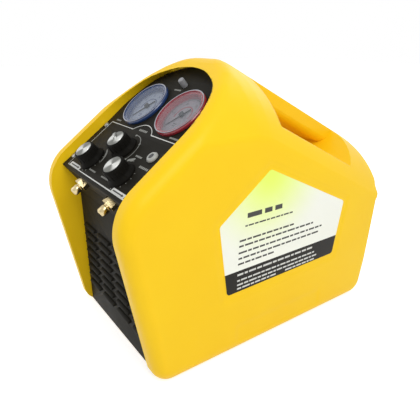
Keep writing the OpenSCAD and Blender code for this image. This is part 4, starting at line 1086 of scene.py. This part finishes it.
@dataclass
class Gauge:
    """A pressure gauge: enamelled case, printed dial, clear lens and lacquered needle.

    Attributes:
        side: Minus one for the low pressure gauge at the left, one for the high one.
        name: First word of the names of its CAD nodes.
        x: Distance of its axis from the middle of the panel.
        u: Distance of its axis up the upper slope.
        rim_r: Outer radius of the rim.
        bore_r: Inner radius of the rim.
        rim_h: Height of the rim above the slope.
        dial_h: Height of the dial's face.
        share: Share of the width of the CAD solids that the seen gauge has.
        scale_r: Radius of the scale line.
        number_r: Radius of the circle of numbers.
        number_h: Height of the numbers.
        sweep: Angle of the scale.
        top_value: Largest number of the scale.
        step_value: Difference between two numbers.
    """

    side: int
    name: str
    x: float = 42.8
    u: float = 33.54
    rim_r: float = 35.0
    bore_r: float = 32.2
    rim_h: float = 6.0
    dial_h: float = -2.0
    share: float = 70.0 / 78.0
    scale_r: float = 26.0
    number_r: float = 19.6
    number_h: float = 4.8
    sweep: float = 290.0
    top_value: int = 35
    step_value: int = 5

    def place(self, bm: BMesh) -> None:
        """Moves a mesh made about the gauge's own axis to its place on the slope."""
        bm.transform(GAUGES.matrix(self.side * self.x, self.u, 0.0))

    def build(self) -> None:
        """Dresses the case, prints the dial and adds the lens rim, coloured light grey as a painted highlight."""
        low = self.side < 0
        case = Surface.LOW_CASE if low else Surface.HIGH_CASE
        fit = GAUGES.fit(self.side * self.x, self.u, self.share, 1.0)
        softened_copy(f"{self.name}_case", case, CHASSIS, 0.5, fit)
        softened_copy(f"{self.name}_dial", Surface.LOW_DIAL if low else Surface.HIGH_DIAL, CHASSIS,
                      0.1, fit)
        softened_copy(f"{self.name}_pointer", Surface.NEEDLE, f"{self.name[:-6]}_pointer_body",
                      0.1, fit)
        accent = Surface.SCALE_BLUE if low else Surface.SCALE_RED
        marks, arcs = bmesh.new(), bmesh.new()
        self.scale(marks)
        self.band(arcs)
        for name, bm, surface in ((f"{self.name}_scale", marks, Surface.SCALE_BLUE if low else Surface.INK_DARK),
                                  (f"{self.name}_band", arcs, accent)):
            self.place(bm)
            finish_piece(name, bm, surface, CHASSIS, sharp=30.0)
        self.numbers(Surface.SCALE_BLUE if low else Surface.INK_DARK)
        self.lens()

    def scale(self, bm: BMesh) -> None:
        """Draws the scale line with its long and short ticks."""
        low, high = self.dial_h, self.dial_h + 0.08
        first = 90.0 + self.sweep / 2
        ribbon(bm, arc(self.scale_r, first, first - self.sweep, 72), 0.7, low, high)
        majors = self.top_value // self.step_value
        for k in range(majors * 5 + 1):
            a = first - self.sweep * k / (majors * 5)
            long = k % 5 == 0
            inner = 22.8 if long else 24.4
            ribbon(bm, [arc(inner, a, a, 1)[0], arc(self.scale_r, a, a, 1)[0]], 1.0 if long else 0.5, low, high)
        for k, wide in enumerate((7.0, 4.4)):
            plate(bm, box_outline(0.0, -13.5 - 3.0 * k, wide, 1.3), low, high)

    def band(self, bm: BMesh) -> None:
        """Draws the coloured inner scale and the coloured edge of the dial."""
        low, high = self.dial_h, self.dial_h + 0.1
        ribbon(bm, arc(13.8, 200.0, -12.0, 48), 1.7, low, high)
        ribbon(bm, arc(28.2, 235.0, -55.0, 72), 1.3, low, high)

    def numbers(self, surface: Surface) -> None:
        """Prints the plain numbers of the scale."""
        first = 90.0 + self.sweep / 2
        count = self.top_value // self.step_value
        bm = bmesh.new()
        for k in range(count + 1):
            a = first - self.sweep * k / count
            x, y = arc(self.number_r, a, a, 1)[0]
            curve = bpy.data.curves.new("number", "FONT")
            curve.body = str(k * self.step_value)
            curve.size = self.number_h
            curve.align_x, curve.align_y = "CENTER", "CENTER"
            curve.resolution_u = 2
            curve.extrude = 0.04
            holder = linked("number", curve)
            mesh = evaluated(holder)
            mesh.transform(Matrix.Translation(Vector((x, y, self.dial_h + 0.04))))
            bm.from_mesh(mesh)
            bpy.data.objects.remove(holder)
            bpy.data.meshes.remove(mesh)
            bpy.data.curves.remove(curve)
        bmesh.ops.remove_doubles(bm, verts=bm.verts, dist=1e-4)
        self.place(bm)
        finish_piece(f"{self.name}_numbers", bm, surface, CHASSIS, sharp=30.0)

    def lens(self) -> None:
        """Makes the domed lens in place of the flat one, and a light grey ring on the rim whose colour is a painted
        highlight of the lens edge.
        """
        bm = bmesh.new()
        top, low = self.rim_h, self.rim_h - 2.0
        dome = [(self.bore_r * (1 - k / 8), top - 1.1 + 1.0 * math.sin(math.pi / 2 * k / 8)) for k in range(9)]
        lathe(bm, [(0.0, low), (self.bore_r, low), *dome], 72)
        self.place(bm)
        finish_piece(f"{self.name}_lens_domed", bm, Surface.LENS, CHASSIS,
                     replaces=(f"{self.name}_lens",), sharp=30.0)
        # The rim ring is coloured light grey: painted highlight of the clear edge.
        edge = bmesh.new()
        inner, outer = self.rim_r - 1.9, self.rim_r - 0.6
        verts = [edge.verts.new((r, 0.0, z)) for r, z in ((inner, top - 0.5), (outer, top - 0.5), (outer, top - 0.15),
                                                         (outer - 0.35, top), (inner + 0.3, top), (inner, top - 0.2))]
        ring = [edge.edges.new((verts[i], verts[(i + 1) % 6])) for i in range(6)]
        bmesh.ops.spin(edge, geom=verts + ring, cent=(0, 0, 0), axis=(0, 0, 1), dvec=(0, 0, 0), angle=math.tau,
                       steps=96, use_merge=True, use_duplicate=False)
        self.place(edge)
        finish_piece(f"{self.name}_lens_rim_highlight", edge, Surface.LENS_RIM_HIGHLIGHT, CHASSIS, sharp=30.0)


@dataclass
class ValveKnob:
    """A fluted black knob with a bright spun cap, on its valve stem.

    Attributes:
        name: First word of the names of its CAD nodes.
        body: Body it turns with.
        x: Place across the panel.
        s: Distance up the control slope.
        top: Height of the cap above the slope.
        cad_top: The same height in the CAD model.
        cap_d: Diameter of the cap.
        cad_cap_d: Diameter of the cap in the CAD model.
    """

    name: str
    body: str
    x: float
    s: float
    top: float = 18.5
    cad_top: float = 18.0
    cap_d: float = 23.0
    cad_cap_d: float = 24.5

    def build(self) -> None:
        """Dresses the knob and its cap."""
        tall = self.top / self.cad_top
        softened_copy(f"{self.name}_knob", Surface.KNOB, self.body, 0.5,
                      CONTROLS.fit(self.x, self.s, 1.0, tall))
        centre = CONTROLS.matrix(self.x, self.s, self.top).translation
        # The spun cap's colour carries painted fan-shaped highlights.
        spun = SpunFinish(f"spun_aluminium_{self.name}_cap", "#6F706B", "#6A6B66", 0.34, 0.08, metallic=0.85,
                          relief_mm=0.01, centre=tuple(centre), tilt=CONTROLS.tilt, pitch_mm=0.45)
        cap = softened_copy(f"{self.name}_cap", Surface.STEEL, self.body, 0.25,
                            CONTROLS.fit(self.x, self.s, self.cap_d / self.cad_cap_d, tall))
        cap.data.materials[0] = spun.build()


@dataclass
class FlareFitting:
    """A turned brass flare fitting with a real helical thread.

    Attributes:
        name: First word of the name of its CAD node.
        x: Place across the panel.
        below: Depth of its axis below the control slope.
        hex_flats: Width across the flats of the hexagon.
        thread_r: Outer radius of the thread.
        reach: How far it stands out from the chin.
        pitch: Pitch of the thread.
    """

    name: str
    x: float
    below: float = -14.484
    hex_flats: float = 14.985
    thread_r: float = 5.5499
    reach: float = 19.995
    pitch: float = 1.27

    def build(self) -> None:
        """Dresses the turned body and adds the thread."""
        softened_copy(f"{self.name}_fitting", Surface.BRASS, CHASSIS, 0.3)
        bm = bmesh.new()
        first, last = self.hex_flats * 0.7 + self.pitch * 0.6, self.reach * 0.9 - self.pitch * 0.6
        turns = (last - first) / self.pitch
        foot, crest = self.thread_r - 0.75, self.thread_r - 0.02
        corners = [(foot, -self.pitch * 0.36), (crest, -self.pitch * 0.06), (crest, self.pitch * 0.06),
                   (foot, self.pitch * 0.36)]
        verts = [bm.verts.new((r, 0.0, first + h)) for r, h in corners]
        ring = [bm.edges.new((verts[i], verts[(i + 1) % 4])) for i in range(4)]
        cap = bm.faces.new(verts)
        steps = round(turns * 24)
        pulled = bmesh.ops.spin(bm, geom=verts + ring, cent=(0, 0, 0), axis=(0, 0, 1),
                                dvec=(0, 0, (last - first) / steps), angle=math.tau * turns, steps=steps,
                                use_merge=False, use_duplicate=False)
        bm.faces.new([g for g in pulled["geom_last"] if isinstance(g, bmesh.types.BMVert)])
        cap.normal_update()
        bm.transform(CONTROLS.matrix(self.x, 0.0, self.below) @ Matrix.Rotation(math.radians(90.0), 4, "X"))
        # The thread takes a darker copy of the brass: painted shade.
        finish_piece(f"{self.name}_flare_thread", bm, Surface.BRASS_SHADED, CHASSIS, sharp=40.0)


@dataclass
class SideLabel:
    """The printed film on the right side, with plain bars where print would be.

    Attributes:
        face: X of its face.
        rows: First and last Y, Z and height of each row of bars, and whether it is the pale print.
        words: Lengths of the bars of a row, in heights of the row, taken in turn.
    """

    face: float = 124.6
    rows: tuple[tuple[float, float, float, float, bool], ...] = (
        (-57.0, -2.0, 189.0, 8.5, False), (-60.0, 17.0, 176.5, 2.6, False), (-68.0, 25.0, 159.0, 3.2, False),
        (-68.5, 57.0, 152.0, 3.2, False), (-69.0, 75.0, 143.5, 3.2, False), (-69.0, 69.0, 136.0, 3.2, False),
        (-69.5, -12.0, 128.8, 3.2, False), (-70.0, 60.0, 114.4, 3.6, True), (-70.0, 65.0, 106.4, 3.0, True),
        (-70.0, 70.0, 100.6, 3.0, True), (-70.0, -4.0, 95.4, 3.0, True), (11.0, 66.0, 95.4, 3.0, True))
    words: tuple[float, ...] = (2.6, 1.4, 3.1, 2.2, 4.0, 1.8, 2.9)

    def build(self) -> None:
        """Dresses the film and prints its bars."""
        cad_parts["side_label"].data.materials.clear()
        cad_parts["side_label"].data.materials.append(Surface.LABEL.material)
        stand = Matrix.Scale(MM, 4) @ Matrix.Translation(Vector((self.face, 0.0, 0.0))) @ SIDE_ON
        for name, pale, surface in (("label_bars_dark", False, Surface.INK_GREY),
                                    ("label_bars_pale", True, Surface.INK)):
            bm = bmesh.new()
            for number, row in enumerate(self.rows):
                if row[4] == pale:
                    self.bars(bm, row, number)
            bm.transform(stand)
            finish_piece(name, bm, surface, CHASSIS, sharp=30.0)

    def bars(self, bm: BMesh, row: tuple[float, float, float, float, bool], number: int) -> None:
        """Fills a row with bars of uneven length.

        Args:
            bm: Mesh that gets the bars.
            row: Its first and last Y, its Z and its height.
            number: Number of the row, where its turn of lengths starts.
        """
        y, last, z, tall = row[:4]
        turn = number
        while y < last - tall:
            end = min(last, y + tall * self.words[turn % len(self.words)])
            plate(bm, box_outline((y + end) / 2, z, end - y, tall * 0.72), 0.0, 0.1)
            y = end + tall * 0.55
            turn += 1


@dataclass
class Buttons:
    """The power button in its light ring, and the reset button of the pressure switch.

    Attributes:
        power: Fit of the power button and its ring.
        reset: Fit of the reset button.
    """

    power: Matrix = field(default_factory=lambda: CONTROLS.fit(66.686, 61.659, 0.853, 0.711, -1.87))
    reset: Matrix = field(default_factory=lambda: GAUGES.fit(0.0, 75.66, 0.762, 0.762))

    def build(self) -> None:
        """Dresses both buttons."""
        softened_copy("power_switch", Surface.BUTTON_RING, CHASSIS, 0.35, self.power)
        softened_copy("power_button", Surface.BUTTON, "power_button_body", 0.35, self.power)
        softened_copy("reset_button", Surface.RESET, "reset_button_body", 0.5, self.reset)


@dataclass
class PanelsAndRear:
    """The louvred front plate, the rear plate, the fan guard and the power inlet."""

    def build(self) -> None:
        """Dresses the plates and what stands on them."""
        for node in ("front_grille", "rear_panel"):
            softened_copy(node, Surface.PANEL, CHASSIS)
        softened_copy("fan_guard", Surface.STEEL, CHASSIS, 0.5)
        softened_copy("power_inlet", Surface.KNOB, CHASSIS, 0.5)


@dataclass
class InnerWorks:
    """Everything inside the case, each with the finish of its real material."""

    finishes: dict[Surface, tuple[str, ...]] = field(default_factory=lambda: {
        Surface.TRAY: ("base_plate",),
        Surface.STEEL: ("panel_screws", "rear_screws", "input_stem", "output_stem", "mode_stem", "motor_shaft",
                        "capacitor_strap"),
        Surface.BLOCK: ("valve_block",),
        Surface.BRASS: ("input_bonnet", "output_bonnet", "mode_bonnet"),
        Surface.MOTOR: ("motor_shell", "pressure_switch"),
        Surface.CAST: ("crankcase", "left_cylinder", "right_cylinder", "left_head", "right_head"),
        Surface.FAN: ("fan",),
        Surface.FINS: ("condenser_fins",),
        Surface.CAN: ("capacitor", "condenser_frame"),
        Surface.COPPER: ("condenser_tubes", "suction_tube", "discharge_tube", "return_tube", "low_gauge_tube",
                         "high_gauge_tube"),
        Surface.RUBBER: ("mount_1", "mount_2", "mount_3", "mount_4"),
    })

    def build(self) -> None:
        """Gives each solid its finish."""
        for surface, nodes in self.finishes.items():
            for node in nodes:
                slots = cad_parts[node].data.materials
                slots.clear()
                slots.append(surface.material)
                LOG.info("%s: %s", node, surface.value.name)


@dataclass
class Studio:
    """The white sweep, the lamps and the camera.

    Attributes:
        eye: Place of the camera.
        ahead: Direction it looks in.
        across: Direction to the right of its picture.
        lens: Focal length on a 36 mm sensor.
    """

    eye: tuple[float, float, float] = (0.47523, -0.35936, 0.38019)
    ahead: tuple[float, float, float] = (-0.7571, 0.5378, -0.3709)
    across: tuple[float, float, float] = (0.5791, 0.8152, 0.0)
    lens: float = 37.13

    def build(self) -> None:
        """Sets up camera, world, floor and lamps."""
        scene = bpy.context.scene
        scene.view_settings.view_transform = "Standard"
        self.camera(scene)
        self.world(scene)
        self.floor()
        self.lamp("key", (0.9, -0.25, 1.15), 0.75, 7.6)
        self.lamp("fill", (-0.7, -1.0, 0.7), 0.9, 1.8)
        self.lamp("back", (-0.4, 1.1, 1.0), 0.8, 3.0)

    def camera(self, scene: bpy.types.Scene) -> None:
        """Places the camera where the photograph was taken."""
        data = bpy.data.cameras.new("camera")
        data.sensor_width = 36.0
        data.lens = self.lens
        data.clip_start = 0.01
        camera = linked("camera", data)
        ahead, right = Vector(self.ahead).normalized(), Vector(self.across).normalized()
        up = right.cross(ahead)
        camera.matrix_world = Matrix.Translation(Vector(self.eye)) @ Matrix((
            (right.x, up.x, -ahead.x, 0), (right.y, up.y, -ahead.y, 0), (right.z, up.z, -ahead.z, 0), (0, 0, 0, 1)))
        scene.camera = camera

    @staticmethod
    def seen(tree: Tree) -> Socket:
        """Gives one for the rays of the camera, of gloss and of clear things, and zero for the rest."""
        ray = add_node(tree, "ShaderNodeLightPath")
        gloss = add_node(tree, "ShaderNodeMath", {"operation": "MAXIMUM"},
                         {0: ray.outputs["Is Glossy Ray"], 1: ray.outputs["Is Transmission Ray"]})
        return add_node(tree, "ShaderNodeMath", {"operation": "MAXIMUM"},
                        {0: gloss.outputs["Value"], 1: ray.outputs["Is Camera Ray"]}).outputs["Value"]

    def world(self, scene: bpy.types.Scene) -> None:
        """Makes a white surround that the camera, metal and glass see, and a softer one that lights."""
        world = bpy.data.worlds.new("white_surround")
        scene.world = world
        world.use_nodes = True
        tree = world.node_tree
        strength = add_node(tree, "ShaderNodeMapRange", {"To Min": 0.62, "To Max": 1.0}, {"Value": self.seen(tree)})
        tree.nodes["Background"].inputs["Color"].default_value = (1.0, 1.0, 1.0, 1.0)
        tree.links.new(strength.outputs["Result"], tree.nodes["Background"].inputs["Strength"])

    def floor(self) -> None:
        """Lays a white floor that keeps a soft shadow of the machine."""
        material = bpy.data.materials.new("white_paper_sweep")
        material.use_nodes = True
        tree = material.node_tree
        shader = tree.nodes["Principled BSDF"]
        shader.inputs["Base Color"].default_value = (0.86, 0.86, 0.86, 1.0)
        shader.inputs["Roughness"].default_value = 0.9
        glow = add_node(tree, "ShaderNodeEmission", {"Color": (1.0, 1.0, 1.0, 1.0), "Strength": 0.6})
        dark = add_node(tree, "ShaderNodeEmission", {"Strength": 0.0})
        pick = add_node(tree, "ShaderNodeMixShader", {}, {0: self.seen(tree), 1: dark.outputs["Emission"],
                                                          2: glow.outputs["Emission"]})
        total = add_node(tree, "ShaderNodeAddShader", {}, {0: shader.outputs["BSDF"], 1: pick.outputs["Shader"]})
        tree.links.new(total.outputs["Shader"], tree.nodes["Material Output"].inputs["Surface"])
        bm = bmesh.new()
        bmesh.ops.create_grid(bm, x_segments=1, y_segments=1, size=6.0)
        mesh = bpy.data.meshes.new("floor")
        bm.to_mesh(mesh)
        bm.free()
        mesh.materials.append(material)
        linked("floor", mesh)

    def lamp(self, name: str, place: tuple[float, float, float], size: float, power: float) -> None:
        """Adds a soft square lamp aimed at the middle of the machine.

        Args:
            name: Name of the lamp.
            place: Its place.
            size: Side of its square.
            power: Its power in watts.
        """
        data = bpy.data.lights.new(name, "AREA")
        data.size = size
        data.energy = power
        lamp = linked(name, data)
        lamp.location = place
        aim = Vector((0.0, 0.0, 0.18)) - Vector(place)
        lamp.rotation_euler = aim.to_track_quat("-Z", "Y").to_euler()


def main() -> None:
    """Builds the machine's looks in order."""
    logging.basicConfig(level=logging.INFO, format="%(name)s %(message)s")
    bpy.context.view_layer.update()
    Studio().build()
    CaseShell().build()
    ControlPanel().build()
    Gauge(-1, "low_gauge", top_value=35, step_value=5).build()
    Gauge(1, "high_gauge", top_value=50, step_value=10).build()
    for name, body, x, s in (("input", "input_knob_body", -43.5, 26.97), ("output", "output_knob_body", 43.5, 26.97),
                             ("mode", "mode_knob_body", 0.0, 57.381)):
        ValveKnob(name, body, x, s).build()
    for name, x in (("input", -43.5), ("output", 43.5)):
        FlareFitting(name, x).build()
    SideLabel().build()
    Buttons().build()
    PanelsAndRear().build()
    InnerWorks().build()


if __name__ == "__main__":
    main()
